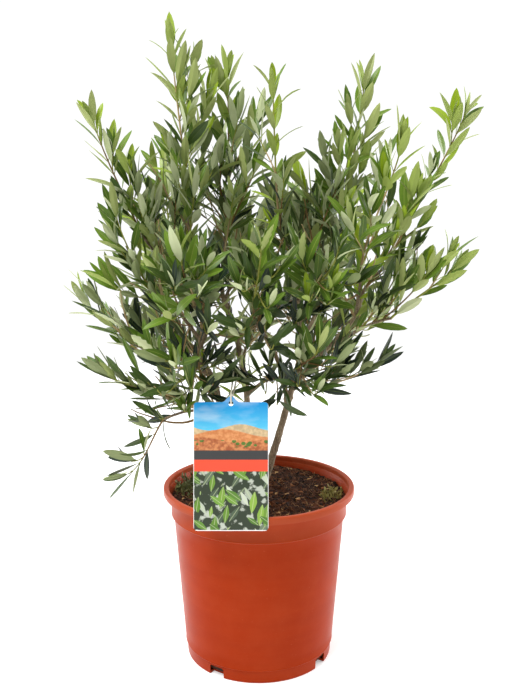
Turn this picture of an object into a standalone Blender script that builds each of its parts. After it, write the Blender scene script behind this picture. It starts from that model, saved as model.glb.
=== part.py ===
"""Young potted olive: three stems, their boughs and the foliage masses they carry.

Metres, +Z up.  The origin is the centre of the pot's flat underside.  +X is to the
right and -Y to the front, the side on which the plant's label hangs.
"""
import math

import bmesh
import bpy
from mathutils import Vector, noise

MM = 0.001
GAP = 0.3 * MM                 # left between pieces that rest on each other

# Pot: a moulded nursery pot of 21 cm, with a folded rim, a collar and a conical wall.
RIM_RADIUS = 105 * MM
POT_HEIGHT = 194 * MM
BASE_RADIUS = 81 * MM
RIM_DEPTH = 7.5 * MM           # height of the rim's outer face
RIM_WIDTH = 6 * MM             # from the rim's outer face to its inner edge
COLLAR_FOOT = 164 * MM         # the collar's lower edge, where the wall steps in
COLLAR_TOP_RADIUS = 97.5 * MM
COLLAR_FOOT_RADIUS = 96.4 * MM
WALL_TOP_RADIUS = 93.9 * MM
SKIRT_TOP = 15 * MM            # the wall steps in once more above the base
WALL_FOOT_RADIUS = 82.7 * MM
SHELL = 1.6 * MM               # thickness of the moulded plastic
FLOOR = 2.4 * MM
POT_SIDES = 40
NOTCH_ANGLES = (-34, 56, 146, 236)      # degrees from the front towards +X
NOTCH_WIDTH = 18 * MM
NOTCH_HEIGHT = 11.5 * MM

# Soil: flat where the stems stand, and a little lower at the pot's wall.
SOIL_TOP = 184 * MM
SOIL_FLAT_RADIUS = 40 * MM
SOIL_EDGE = 181 * MM

# Label: a plastic card that leans against the rim, on a loop round the middle stem.
LABEL_WIDTH = 74.2 * MM
LABEL_HEIGHT = 127.4 * MM
LABEL_THICKNESS = 0.6 * MM
LABEL_CORNER = 3 * MM
LABEL_LEAN = math.radians(11)
LABEL_X = -27.2 * MM
LABEL_FOOT = 182.6 * MM
EAR_WIDTH = 18 * MM            # the rounded ear over the hole
EAR_HEIGHT = 6 * MM
HOLE_DROP = 1.5 * MM           # the hole's centre below the label's top edge
HOLE_RADIUS = 2.4 * MM
LOOP_RADIUS = 0.7 * MM
LOOP_STEM_SHARE = 0.507        # how far up the middle stem the loop is tied

# Limbs: what each grows from, how far up that limb it starts, its thickness at the
# start and at the end, and the few bends it runs through to its end, in millimetres.
STEMS = {
    "stem_left": (9.0, 3.2, (
        (-25, -8), (-43, -8, 291), (-53, -6, 320), (-65, -4, 340), (-58, -2, 360),
        (-57, 0, 384), (-69, 3, 419), (-74, 8, 495))),
    "stem_middle": (8.0, 3.0, (
        (-9, 13), (-13, 12, 286), (-17, 12, 319), (-24, 14, 352), (-40, 22, 406),
        (-36, 30, 455), (-33, 40, 493))),
    "stem_right": (9.4, 3.4, (
        (3, 0), (14, 2, 222), (26, 5, 263), (34, 8, 292), (45, 12, 332), (44, 14, 385),
        (47, 22, 430), (49, 32, 455))),
}
BOUGHS = {
    "front_middle": ("stem_right", 0.385, 6.0, 3.2, ((22, 3, 327), (10, -10, 356), (-4, -40, 380))),
    "inner_right": ("stem_right", 0.78, 4.2, 2.8, ((32, 2, 438), (22, -18, 470))),
    "right_leader": ("stem_right", 0.59, 4.8, 3.0, ((66, 14, 395), (85, 18, 448))),
    "right_outer": ("stem_right", 0.44, 5.8, 3.2,
                    ((64, 13, 332), (86, 14, 355), (107, 18, 382), (114, 20, 406), (139, 22, 435))),
    "right_reach": ("bough_right_outer", 0.36, 4.0, 2.8, ((120, 6, 371), (141, -4, 379))),
    "right_middle": ("bough_right_outer", 0.62, 3.8, 2.8, ((106, -12, 416), (104, -40, 440))),
    "right_low": ("stem_right", 0.45, 3.8, 2.4, ((52, -14, 308), (66, -33, 307))),
    "front_low_right": ("stem_middle", 0.35, 4.2, 2.6, ((6, 2, 309), (24, -20, 318), (41, -42, 331))),
    "front_right": ("stem_middle", 0.55, 4.6, 2.8, ((4, 0, 375), (30, -18, 397), (52, -38, 408))),
    "back_middle": ("stem_middle", 0.66, 4.2, 2.8, ((-34, 36, 402), (-22, 56, 414))),
    "back_low": ("stem_middle", 0.45, 4.2, 2.6, ((-15, 34, 338), (-8, 54, 346))),
    "back_right": ("stem_right", 0.64, 4.4, 2.8, ((50, 34, 384), (58, 54, 400))),
    "back_right_low": ("stem_right", 0.50, 4.2, 2.6, ((52, 32, 330), (68, 50, 342))),
    "left_low": ("stem_left", 0.30, 4.8, 2.8, ((-72, -15, 289), (-99, -22, 297))),
    "left_drooping": ("bough_left_low", 0.22, 3.4, 2.4, ((-78, -32, 284), (-100, -40, 278))),
    "left_outer": ("stem_left", 0.475, 4.6, 2.8, ((-92, -4, 337), (-118, -1, 343), (-147, 4, 359))),
    "left_upper": ("stem_left", 0.65, 4.6, 2.8, ((-92, -8, 430), (-121, -20, 469))),
    "left_second": ("stem_left", 0.555, 4.4, 2.8, ((-84, -11, 386), (-112, -24, 410))),
    "left_inner": ("stem_left", 0.70, 3.8, 2.6, ((-82, 18, 428), (-94, 34, 444))),
    "front_left": ("stem_left", 0.59, 4.4, 2.8, ((-60, -24, 385), (-66, -42, 398))),
    "front_low_left": ("stem_left", 0.42, 4.2, 2.6, ((-64, -28, 330), (-74, -46, 338))),
    "back_left": ("stem_left", 0.61, 4.4, 2.8, ((-66, 28, 392), (-80, 46, 402))),
    "back_left_low": ("stem_left", 0.44, 4.2, 2.6, ((-64, 26, 336), (-80, 44, 344))),
}
STEM_FLARE = 1.55              # root flare: the stem's thickness at the soil over the stem's
FLARE_HEIGHT = 14 * MM
LIMB_STEP = 14 * MM            # spacing of the rings along a limb
STEM_SIDES, BOUGH_SIDES = 8, 6

# Foliage: the limb that carries each mass, its greatest width, and the tips of its
# shoots in millimetres.  The first tip is the mass's crest.
FOLIAGE = {
    "top_leader": ("stem_left", 74, ((-93, 12, 686), (-64, 24, 667), (-114, -8, 622), (-115, 20, 657))),
    "middle_leader": ("stem_middle", 62, ((-36, 64, 664), (-2, 60, 624), (-60, 74, 641))),
    "middle_top": ("stem_right", 84, ((44, 92, 547), (23, 84, 552), (65, 104, 548))),
    "front_middle": ("bough_front_middle", 108, ((4, -136, 496), (-22, -150, 450), (30, -124, 474))),
    "inner_right": ("bough_inner_right", 56, ((13, -42, 637), (30, -30, 614), (2, -50, 602))),
    "right_leader": ("bough_right_leader", 74,
                     ((107, 24, 648), (126, 40, 649), (85, 12, 626), (142, 30, 606), (64, 10, 574))),
    "right_outer": ("bough_right_outer", 50,
                    ((235, 44, 619), (242, 36, 594), (204, 48, 613), (187, 20, 566), (192, 24, 508))),
    "right_reach": ("bough_right_reach", 64, ((222, -14, 444), (206, -4, 470), (209, -20, 421))),
    "right_middle": ("bough_right_middle", 70, ((132, -84, 588), (146, -78, 590), (105, -96, 547))),
    "right_low": ("bough_right_low", 54, ((153, -50, 352), (147, -55, 374), (124, -30, 344))),
    "front_low_right": ("bough_front_low_right", 86, ((64, -114, 400), (92, -98, 376))),
    "front_right": ("bough_front_right", 104, ((80, -130, 494), (108, -112, 452))),
    "back_middle": ("bough_back_middle", 116, ((-18, 164, 520), (14, 178, 474), (-48, 152, 494))),
    "back_low": ("bough_back_low", 98, ((-4, 170, 382), (30, 160, 396))),
    "back_right": ("bough_back_right", 112, ((116, 140, 520), (142, 124, 484), (84, 166, 464))),
    "back_right_low": ("bough_back_right_low", 98, ((164, 128, 396), (130, 152, 404))),
    "left_low": ("bough_left_low", 52, ((-193, -25, 327), (-169, -34, 353), (-190, -12, 298))),
    "left_drooping": ("bough_left_drooping", 46, ((-168, -58, 210), (-172, -52, 235), (-143, -66, 257))),
    "left_outer": ("bough_left_outer", 62, ((-216, 10, 411), (-201, 12, 379), (-191, 0, 445))),
    "left_upper": ("bough_left_upper", 56, ((-173, -44, 602), (-163, -38, 611), (-129, -48, 581))),
    "left_second": ("bough_left_second", 62, ((-161, -60, 517), (-147, -66, 514), (-166, -50, 479))),
    "left_inner": ("bough_left_inner", 80, ((-112, 84, 589), (-124, 76, 566), (-142, 90, 556))),
    "front_left": ("bough_front_left", 108, ((-74, -130, 492), (-104, -114, 462), (-48, -138, 440))),
    "front_low_left": ("bough_front_low_left", 90, ((-114, -108, 392), (-80, -124, 380))),
    "back_left": ("bough_back_left", 112, ((-134, 140, 498), (-104, 162, 466), (-154, 114, 474))),
    "back_left_low": ("bough_back_left_low", 98, ((-164, 128, 378), (-130, 150, 388))),
}
MASS_SIDES, MASS_RINGS = 12, 8
MASS_CENTRE = 0.52             # where a mass's centre lies between its foot and crest
UNEVEN = 0.42                  # how far a mass's surface swells and sinks, as a share
LUMP = 1.9                     # lumps across a mass
PEAR = 0.28                    # how fast a mass grows pear-shaped as it gets slender
MASS_GAP = 1.0 * MM            # between neighbouring masses
LIMB_CLEARANCE = 0.8 * MM      # between a mass and a limb that passes it


def clear_scene():
    for old in list(bpy.data.objects):
        bpy.data.objects.remove(old)


def material(name, colour, roughness):
    made = bpy.data.materials.new(name)
    made.use_nodes = True
    shader = made.node_tree.nodes["Principled BSDF"]
    shader.inputs["Base Color"].default_value = (*colour, 1)
    shader.inputs["Roughness"].default_value = roughness
    shader.inputs["Metallic"].default_value = 0
    return made


def add_object(name, data, finish):
    made = bpy.data.objects.new(name, data)
    made.data.materials.append(finish)
    bpy.context.scene.collection.objects.link(made)
    return made


def mesh_object(name, bm, finish, smooth=True):
    bmesh.ops.remove_doubles(bm, verts=bm.verts, dist=1e-6)
    bmesh.ops.recalc_face_normals(bm, faces=bm.faces)
    mesh = bpy.data.meshes.new(name)
    bm.to_mesh(mesh)
    bm.free()
    made = add_object(name, mesh, finish)
    if smooth:
        mesh.shade_smooth()
        mesh.set_sharp_from_angle(angle=math.radians(35))
    return made


def turned(profile, sides):
    """A closed body of revolution from (radius, height) points that start and end on
    the axis or on the same point."""
    bm = bmesh.new()
    ring = [bm.verts.new((radius, 0, height)) for radius, height in profile]
    edges = [bm.edges.new(pair) for pair in zip(ring, ring[1:])]
    bmesh.ops.spin(bm, geom=ring + edges, cent=(0, 0, 0), axis=(0, 0, 1),
                   angle=2 * math.pi, steps=sides, use_merge=True)
    return bm


def rounded(corner, before, after, radius, steps=3):
    """Points of a round on the corner of a profile between its two neighbours."""
    corner, before, after = Vector(corner), Vector(before), Vector(after)
    start = corner + (before - corner).normalized() * radius
    end = corner + (after - corner).normalized() * radius
    arc = []
    for i in range(steps + 1):
        t = i / steps
        arc.append(tuple(start.lerp(corner, t).lerp(corner.lerp(end, t), t)))
    return arc


def make_pot(finish):
    rim_inner = RIM_RADIUS - RIM_WIDTH
    rim_low = POT_HEIGHT - RIM_DEPTH
    outer = [
        (0, 0),
        *rounded((BASE_RADIUS, 0), (0, 0), (BASE_RADIUS, SKIRT_TOP), 1.5 * MM, 2),
        (BASE_RADIUS + 0.3 * MM, SKIRT_TOP - 2 * MM),
        (WALL_FOOT_RADIUS, SKIRT_TOP),
        (WALL_TOP_RADIUS, COLLAR_FOOT - 2.5 * MM),
        (COLLAR_FOOT_RADIUS - 0.8 * MM, COLLAR_FOOT - 0.8 * MM),
        (COLLAR_FOOT_RADIUS, COLLAR_FOOT + 0.6 * MM),
        (COLLAR_TOP_RADIUS, rim_low + 0.5 * MM),
        (RIM_RADIUS - 0.6 * MM, rim_low),
        (RIM_RADIUS, rim_low + 0.6 * MM),
        *rounded((RIM_RADIUS, POT_HEIGHT), (RIM_RADIUS, 0), (0, POT_HEIGHT), 2 * MM),
        *rounded((rim_inner, POT_HEIGHT), (RIM_RADIUS, POT_HEIGHT), (rim_inner, 0), 1.5 * MM, 2),
    ]
    inner = [
        (COLLAR_TOP_RADIUS - SHELL, rim_low - 2 * MM),
        (COLLAR_FOOT_RADIUS - SHELL, COLLAR_FOOT + 1 * MM),
        (WALL_TOP_RADIUS - SHELL, COLLAR_FOOT - 3 * MM),
        (WALL_FOOT_RADIUS - SHELL, SKIRT_TOP),
        (BASE_RADIUS - SHELL, FLOOR),
        (0, FLOOR),
    ]
    pot = mesh_object("pot", turned(outer + inner, POT_SIDES), finish)
    for i, degrees in enumerate(NOTCH_ANGLES):
        angle = math.radians(degrees - 90)
        bm = bmesh.new()
        bmesh.ops.create_cube(bm, size=1)
        bmesh.ops.scale(bm, verts=bm.verts, vec=(16 * MM, NOTCH_WIDTH, 2 * NOTCH_HEIGHT))
        cutter = mesh_object(f"notch_cutter_{i}", bm, finish, smooth=False)
        cutter.location = (BASE_RADIUS * math.cos(angle), BASE_RADIUS * math.sin(angle), 0)
        cutter.rotation_euler.z = angle
        cutter.hide_render = True
        cutter.display_type = "WIRE"
        cut = pot.modifiers.new(f"notch_{i}", "BOOLEAN")
        cut.operation = "DIFFERENCE"
        cut.solver = "EXACT"
        cut.object = cutter
    return pot


def make_soil(finish):
    clear = SHELL + GAP
    profile = [
        (0, FLOOR + GAP),
        (BASE_RADIUS - clear - 10 * MM, FLOOR + GAP),
        (BASE_RADIUS - clear - 0.5 * MM, FLOOR + 10 * MM),
        (WALL_FOOT_RADIUS - clear - 0.2 * MM, SKIRT_TOP + 2 * MM),
        (WALL_TOP_RADIUS - clear - 0.3 * MM, COLLAR_FOOT - 4 * MM),
        (COLLAR_FOOT_RADIUS - clear - 0.3 * MM, COLLAR_FOOT + 3 * MM),
        (COLLAR_FOOT_RADIUS - clear, SOIL_EDGE),
        (SOIL_FLAT_RADIUS, SOIL_TOP),
        (0, SOIL_TOP),
    ]
    return mesh_object("soil", turned(profile, POT_SIDES), finish)


def smooth_path(knots, step):
    """A smooth curve through the knots, as points about one step apart."""
    before = knots[0] * 2 - knots[1]
    after = knots[-1] * 2 - knots[-2]
    full = [before, *knots, after]
    path = [knots[0]]
    for a, b, c, d in zip(full, full[1:], full[2:], full[3:]):
        count = max(1, round((c - b).length / step))
        for i in range(1, count + 1):
            t = i / count
            path.append(0.5 * (2 * b + (c - a) * t + (2 * a - 5 * b + 4 * c - d) * t ** 2
                               + (3 * b - a - 3 * c + d) * t ** 3))
    return path


def along(path, radii, share):
    """The place, direction and radius at a share of a limb's length."""
    lengths = [(b - a).length for a, b in zip(path, path[1:])]
    left = share * sum(lengths)
    for i, length in enumerate(lengths):
        if left <= length:
            break
        left -= length
    part = left / length
    place = path[i].lerp(path[i + 1], part)
    return place, (path[i + 1] - path[i]).normalized(), radii[i] + (radii[i + 1] - radii[i]) * part


def limb_curve(name, path, radii, sides, finish):
    data = bpy.data.curves.new(name, "CURVE")
    data.dimensions = "3D"
    data.bevel_depth = MM
    data.bevel_resolution = (sides - 4) // 2
    data.use_fill_caps = True
    spline = data.splines.new("POLY")
    spline.points.add(len(path) - 1)
    for point, place, radius in zip(spline.points, path, radii):
        point.co = (*place, 1)
        point.radius = radius / MM
    return add_object(name, data, finish)


def taper(path, start, end):
    """Radii that fall evenly from start to end along a path."""
    count = len(path) - 1
    return [start + (end - start) * i / count for i in range(count + 1)]


def make_stems(finish, limbs):
    for name, (start, end, bends) in STEMS.items():
        foot_x, foot_y = (value * MM for value in bends[0])
        foot = Vector((foot_x, foot_y, SOIL_TOP + GAP))
        collar = foot + Vector((0, 0, 3 * MM))
        knots = [collar] + [Vector(bend) * MM for bend in bends[1:]]
        path = [foot] + smooth_path(knots, LIMB_STEP)
        radii = taper(path, start * MM / 2, end * MM / 2)
        for i, place in enumerate(path):
            rise = max(0, 1 - (place.z - foot.z) / FLARE_HEIGHT)
            radii[i] *= 1 + (STEM_FLARE - 1) * rise ** 2
        limb_curve(name, path, radii, STEM_SIDES, finish)
        limbs[name] = (path, radii)


def seat_distance(parent, parent_radius, origin, heading, radius):
    """How far out along its heading a bough's flat end starts, to clear its parent."""
    across = heading.orthogonal().normalized()
    over = heading.cross(across)
    edge = [(across * math.cos(turn) + over * math.sin(turn)) * radius
            for turn in (math.pi * i / 6 for i in range(12))]
    line = [place for a, b in zip(parent, parent[1:]) for place in spread(a, b, 8)]
    near = [place for place in line if (place - origin).length < 3 * LIMB_STEP]
    clear = 0.0
    while True:
        centre = origin + heading * clear
        gap = min((centre + out - place).length for out in edge for place in near) - parent_radius
        if gap > GAP:
            return clear
        clear += 0.1 * MM


def make_boughs(finish, limbs):
    for name, (parent, share, start, end, bends) in BOUGHS.items():
        path, radii = limbs[parent]
        origin, _, parent_radius = along(path, radii, share)
        radius = start * MM / 2
        bends = [Vector(bend) * MM for bend in bends]
        heading = (bends[0] - origin).normalized()
        clear = seat_distance(path, parent_radius, origin, heading, radius)
        path = smooth_path([origin + heading * clear] + bends, LIMB_STEP)
        radii = taper(path, radius, end * MM / 2)
        limb_curve("bough_" + name, path, radii, BOUGH_SIDES, finish)
        limbs["bough_" + name] = (path, radii)


def spread(start, end, count=14):
    return [start.lerp(end, i / count) for i in range(count + 1)]


def nearest_pair(first, second):
    pairs = ((a, b) for a in first for b in second)
    return min(pairs, key=lambda pair: (pair[0] - pair[1]).length)


def foliage_walls(limbs, others):
    """The flat walls that bound each mass, as (point, outward direction): one at its
    limb's end, one half way to each other mass, and one before each point of every
    limb that it must clear."""
    feet, spines, walls = {}, {}, {}
    for name, (limb, _, tips) in FOLIAGE.items():
        path, _ = limbs[limb]
        heading = (path[-1] - path[-2]).normalized()
        feet[name] = path[-1] + heading * GAP
        spines[name] = spread(feet[name], Vector(tips[0]) * MM)
        walls[name] = [(feet[name], -heading)]
    names = list(FOLIAGE)
    for i, name in enumerate(names):
        width = FOLIAGE[name][1]
        for other in names[i + 1:]:
            a, b = nearest_pair(spines[name], spines[other])
            between = (b - a).normalized()
            middle = a.lerp(b, width / (width + FOLIAGE[other][1]))
            walls[name].append((middle - between * MASS_GAP / 2, between))
            walls[other].append((middle + between * MASS_GAP / 2, -between))
        for limb, (path, radii) in [*limbs.items(), *others]:
            for place, radius in zip(path, radii):
                a, b = nearest_pair(spines[name], [place])
                if limb == FOLIAGE[name][0] and (b - a).length < LIMB_STEP:
                    continue
                away = (b - a).normalized()
                walls[name].append((b - away * (radius + LIMB_CLEARANCE), away))
    return feet, walls


def uneven_egg(foot, crest, centre, width, seed):
    """An egg from foot to crest with a lumpy skin, pear-shaped where it is slender."""
    along_axis = (crest - foot).normalized()
    turn = along_axis.to_track_quat("Z", "Y")
    pear = min(0.5, PEAR * ((crest - foot).length / width - 1))
    bm = bmesh.new()
    bmesh.ops.create_uvsphere(bm, u_segments=MASS_SIDES, v_segments=MASS_RINGS, radius=1)
    for vert in bm.verts:
        out = vert.co.copy()
        swell = 1 + UNEVEN * noise.noise(out * LUMP + Vector((seed * 7.3, 1.7, 4.1)))
        half = width / 2 * swell * (1 - pear * out.z)
        length = (crest - centre).length if out.z > 0 else (centre - foot).length
        vert.co = centre + turn @ Vector((out.x * half, out.y * half, out.z * length))
    return bm


def draw_out(bm, centre, poles, tip):
    """Pull the vertex that looks most towards a shoot's tip out to that tip."""
    reach = tip - centre
    sides = [vert for vert in bm.verts if all((vert.co - pole).length > MM for pole in poles)]
    nearest = min(sides, key=lambda vert: (vert.co - centre).angle(reach))
    nearest.co = tip


def hold_inside(bm, centre, walls):
    """Draw every vertex that is past a wall back towards the centre, up to the wall."""
    for vert in bm.verts:
        out = vert.co - centre
        keep = 1.0
        for point, outward in walls:
            room = (point - centre).dot(outward)
            if out.dot(outward) > room:
                keep = min(keep, room / out.dot(outward))
        vert.co = centre + out * keep


def make_foliage(finish, limbs, others):
    feet, walls = foliage_walls(limbs, others)
    for seed, (name, (_, width, tips)) in enumerate(FOLIAGE.items()):
        foot = feet[name]
        tips = [Vector(tip) * MM for tip in tips]
        centre = foot.lerp(tips[0], MASS_CENTRE)
        bm = uneven_egg(foot, tips[0], centre, width * MM, seed)
        for tip in tips[1:]:
            draw_out(bm, centre, (foot, tips[0]), tip)
        hold_inside(bm, centre, walls[name])
        mesh_object("foliage_" + name, bm, finish)


def label_outline():
    """The card's outline from its lower left corner, anticlockwise, with round corners
    and the ear in the middle of its top edge."""
    half, top, ear = LABEL_WIDTH / 2, LABEL_HEIGHT, EAR_WIDTH / 2
    corners = [(-half, 0), (half, 0), (half, top), (-half, top)]
    outline = []
    for i, corner in enumerate(corners):
        if i == 3:
            for k in range(9):
                x = ear * (1 - k / 4)
                outline.append((x, top + EAR_HEIGHT * 0.5 * (1 + math.cos(math.pi * x / ear))))
        outline += rounded(corner, corners[i - 1], corners[(i + 1) % 4], LABEL_CORNER)
    return outline


def label_point(x, height, out=0.0):
    """A point of the label from its own sideways, upward and outward measures."""
    rim_touch = POT_HEIGHT - 1.8 * MM
    stand_off = RIM_RADIUS + GAP + LABEL_THICKNESS / 2
    foot_y = -stand_off - (rim_touch - LABEL_FOOT) * math.tan(LABEL_LEAN) - 0.05 * MM
    return Vector((LABEL_X + x,
                   foot_y + height * math.sin(LABEL_LEAN) - out * math.cos(LABEL_LEAN),
                   LABEL_FOOT + height * math.cos(LABEL_LEAN) + out * math.sin(LABEL_LEAN)))


def make_label(finish):
    bm = bmesh.new()
    rings = []
    for out in (LABEL_THICKNESS / 2, -LABEL_THICKNESS / 2):
        rings.append([bm.verts.new(label_point(x, height, out)) for x, height in label_outline()])
    bm.faces.new(rings[0])
    bm.faces.new(reversed(rings[1]))
    count = len(rings[0])
    for i in range(count):
        j = (i + 1) % count
        bm.faces.new((rings[0][i], rings[1][i], rings[1][j], rings[0][j]))
    label = mesh_object("label", bm, finish, smooth=False)
    bm = bmesh.new()
    bmesh.ops.create_cone(bm, cap_ends=True, segments=16, radius1=HOLE_RADIUS,
                          radius2=HOLE_RADIUS, depth=4 * MM)
    punch = mesh_object("hole_cutter", bm, finish, smooth=False)
    punch.location = label_point(0, LABEL_HEIGHT - HOLE_DROP)
    punch.rotation_euler.x = math.pi / 2 - LABEL_LEAN
    punch.hide_render = True
    punch.display_type = "WIRE"
    cut = label.modifiers.new("hole", "BOOLEAN")
    cut.operation = "DIFFERENCE"
    cut.solver = "EXACT"
    cut.object = punch


def loop_path(limbs):
    """The loop's closed path: through the label's hole, over its ear and round the stem."""
    tie, upward, stem_radius = along(*limbs["stem_middle"], LOOP_STEM_SHARE)
    ring = stem_radius + GAP + LOOP_RADIUS + 0.3 * MM
    hole = label_point(0, LABEL_HEIGHT - HOLE_DROP)
    face = LABEL_THICKNESS / 2 + LOOP_RADIUS + GAP
    ear_top = LABEL_HEIGHT + EAR_HEIGHT
    pull = (tie - hole).normalized()
    side = upward.cross(pull).normalized()
    back = side.cross(upward)
    front = [hole, label_point(0, LABEL_HEIGHT - HOLE_DROP + 0.9 * MM, face),
             label_point(0, LABEL_HEIGHT + EAR_HEIGHT / 2, face),
             label_point(0, ear_top + 0.4 * MM, face * 0.8),
             label_point(0, ear_top + LOOP_RADIUS + 0.9 * MM, -face * 0.4)]
    round_stem = []
    for i in range(7):
        angle = math.pi * (-0.12 + 1.24 * i / 6)
        round_stem.append(tie + side * ring * math.cos(angle) + back * ring * math.sin(angle))
    first, last = round_stem[0], round_stem[-1]
    up_strand = [front[-1].lerp(first, share) for share in (0.25, 0.5, 0.75)]
    back_of_hole = label_point(0, LABEL_HEIGHT - HOLE_DROP + 0.4 * MM, -face * 1.1)
    down_strand = [last.lerp(back_of_hole, share) for share in (0.25, 0.5, 0.75)]
    return front + up_strand + round_stem + down_strand + [back_of_hole]


def make_loop(path, finish):
    made = limb_curve("label_loop", path, [LOOP_RADIUS] * len(path), BOUGH_SIDES, finish)
    made.data.splines[0].use_cyclic_u = True


def main():
    clear_scene()
    plastic = material("pot_plastic", (0.46, 0.075, 0.022), 0.42)
    earth = material("soil", (0.045, 0.022, 0.012), 0.95)
    bark = material("bark", (0.24, 0.17, 0.10), 0.85)
    leaves = material("leaves", (0.11, 0.19, 0.05), 0.6)
    card = material("label_card", (0.75, 0.75, 0.72), 0.35)
    string = material("loop_plastic", (0.72, 0.66, 0.52), 0.5)
    limbs = {}
    make_pot(plastic)
    make_soil(earth)
    make_stems(bark, limbs)
    make_boughs(bark, limbs)
    make_label(card)
    loop = loop_path(limbs)
    make_loop(loop, string)
    strands = ("label_loop", (loop, [LOOP_RADIUS] * len(loop)))
    top_edge = spread(label_point(-LABEL_WIDTH / 2, LABEL_HEIGHT),
                      label_point(LABEL_WIDTH / 2, LABEL_HEIGHT))
    edge = ("label", (top_edge, [EAR_HEIGHT] * len(top_edge)))
    make_foliage(leaves, limbs, [strands, edge])


main()
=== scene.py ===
import math
import random

import bmesh
import bpy
import numpy as np
from mathutils import Matrix, Vector, noise
from mathutils.bvhtree import BVHTree


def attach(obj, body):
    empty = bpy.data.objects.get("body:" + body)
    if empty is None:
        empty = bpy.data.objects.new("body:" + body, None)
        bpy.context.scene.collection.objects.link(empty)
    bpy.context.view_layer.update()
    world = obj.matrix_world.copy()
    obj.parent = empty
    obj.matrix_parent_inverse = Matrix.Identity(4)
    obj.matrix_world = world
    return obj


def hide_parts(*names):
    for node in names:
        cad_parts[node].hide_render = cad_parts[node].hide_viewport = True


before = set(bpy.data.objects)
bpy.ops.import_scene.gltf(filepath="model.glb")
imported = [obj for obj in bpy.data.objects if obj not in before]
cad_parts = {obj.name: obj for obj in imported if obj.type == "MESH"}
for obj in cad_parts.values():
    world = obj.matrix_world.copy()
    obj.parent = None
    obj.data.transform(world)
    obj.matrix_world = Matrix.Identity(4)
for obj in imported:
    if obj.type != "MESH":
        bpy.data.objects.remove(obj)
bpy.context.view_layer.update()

# Studio: the camera stands in front of the pot, level with the crown and tipped down a
# little.  The plant stands on a white floor under a white sky.  One softbox hangs above
# the camera, to its left, and two stand behind the plant, one at each side.
EYE = (0.004, -0.9329, 0.5259)
TIPPED_DOWN = 11.036            # degrees
LENS = 45.52                    # mm, over a picture 36 mm wide
FLOOR_RADIUS = 1.6
FLOOR_SIDES = 96
camera = bpy.data.objects.new("camera", bpy.data.cameras.new("camera"))
camera.data.lens = LENS
camera.data.sensor_width = 36
camera.location = EYE
camera.rotation_euler = (math.radians(90 - TIPPED_DOWN), 0, 0)
bpy.context.scene.collection.objects.link(camera)
bpy.context.scene.camera = camera
bpy.context.scene.view_settings.view_transform = "Standard"


def softbox(name, place, aim, width, height, watts):
    """A rectangular lamp on a stand at its place, turned to face its aim."""
    lamp = bpy.data.lights.new(name, "AREA")
    lamp.shape = "RECTANGLE"
    lamp.size, lamp.size_y, lamp.energy = width, height, watts
    stand = bpy.data.objects.new(name, lamp)
    stand.location = place
    stand.rotation_euler = (Vector(aim) - Vector(place)).to_track_quat("-Z", "Y").to_euler()
    bpy.context.scene.collection.objects.link(stand)


softbox("key_light", (-0.75, -0.85, 2.1), (0, 0.02, 0.38), 1.1, 1.1, 46)
softbox("rim_light_left", (-1.6, 0.95, 0.8), (0, 0, 0.3), 0.9, 1.5, 18)
softbox("rim_light_right", (1.65, 0.8, 0.8), (0, 0, 0.3), 0.9, 1.5, 31)


class Pattern:
    """A socket of a node tree.  Arithmetic on it adds the Math nodes."""

    def __init__(self, tree, socket=None):
        self.tree, self.socket = tree, socket

    def node(self, kind, settings=None, inputs=None, output=0):
        made = self.tree.nodes.new("ShaderNode" + kind)
        for key, value in (settings or {}).items():
            setattr(made, key, value)
        for key, value in (inputs or {}).items():
            if isinstance(value, Pattern):
                self.tree.links.new(value.socket, made.inputs[key])
            else:
                made.inputs[key].default_value = value
        return Pattern(self.tree, made.outputs[output])

    def maths(self, operation, first, second=0.0):
        return self.node("Math", {"operation": operation}, {0: first, 1: second})

    def __add__(self, other):
        return self.maths("ADD", self, other)

    def __sub__(self, other):
        return self.maths("SUBTRACT", self, other)

    def __mul__(self, other):
        return self.maths("MULTIPLY", self, other)

    def __truediv__(self, other):
        return self.maths("DIVIDE", self, other)

    def __radd__(self, other):
        return self.maths("ADD", other, self)

    def __rsub__(self, other):
        return self.maths("SUBTRACT", other, self)

    def __rmul__(self, other):
        return self.maths("MULTIPLY", other, self)

    def __gt__(self, other):
        return self.maths("GREATER_THAN", self, other)

    def __lt__(self, other):
        return self.maths("LESS_THAN", self, other)

    def part(self, axis):
        """A vector's x, y or z, as axis 0, 1 or 2."""
        return self.node("SeparateXYZ", {}, {0: self}, axis)

    def rise(self, low, high, least=0.0, most=1.0):
        """The least below low, the most above high and a straight rise between them."""
        inputs = {"Value": self, "From Min": low, "From Max": high, "To Min": least, "To Max": most}
        return self.node("MapRange", {}, inputs)

    def mix(self, first, second):
        """From the first colour to the second as this pattern goes from 0 to 1."""
        colours = {6: first, 7: second}
        for key, value in colours.items():
            colours[key] = value if isinstance(value, Pattern) else (*value, 1)
        return self.node("Mix", {"data_type": "RGBA"}, {0: self, **colours}, 2)

    def noise(self, place, scale, detail=3.0, roughness=0.5):
        """Soft random patches from 0 to 1, mostly near 0.5."""
        inputs = {"Vector": place, "Scale": scale, "Detail": detail, "Roughness": roughness}
        return self.node("TexNoise", {}, inputs)

    def stretched(self, place, scale):
        """The place multiplied by a scale of its own along each axis."""
        return self.node("VectorMath", {"operation": "MULTIPLY"}, {0: place, 1: scale})


def drive(pattern, socket):
    pattern.tree.links.new(pattern.socket, socket)


sky = bpy.data.worlds.new("white_sky")
sky.use_nodes = True
bpy.context.scene.world = sky
start = Pattern(sky.node_tree)
# Brighter behind the plant than before it, and plain white where it is the backdrop.
shining = start.node("TexCoord").part(1).rise(-0.75, 0.65, 0.34, 0.95)
seen = start.node("LightPath")
backdrop = sky.node_tree.nodes["Background"].inputs
drive(shining * (1 - seen) + seen * 1.05, backdrop["Strength"])
backdrop["Color"].default_value = (1, 1, 1, 1)

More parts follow.
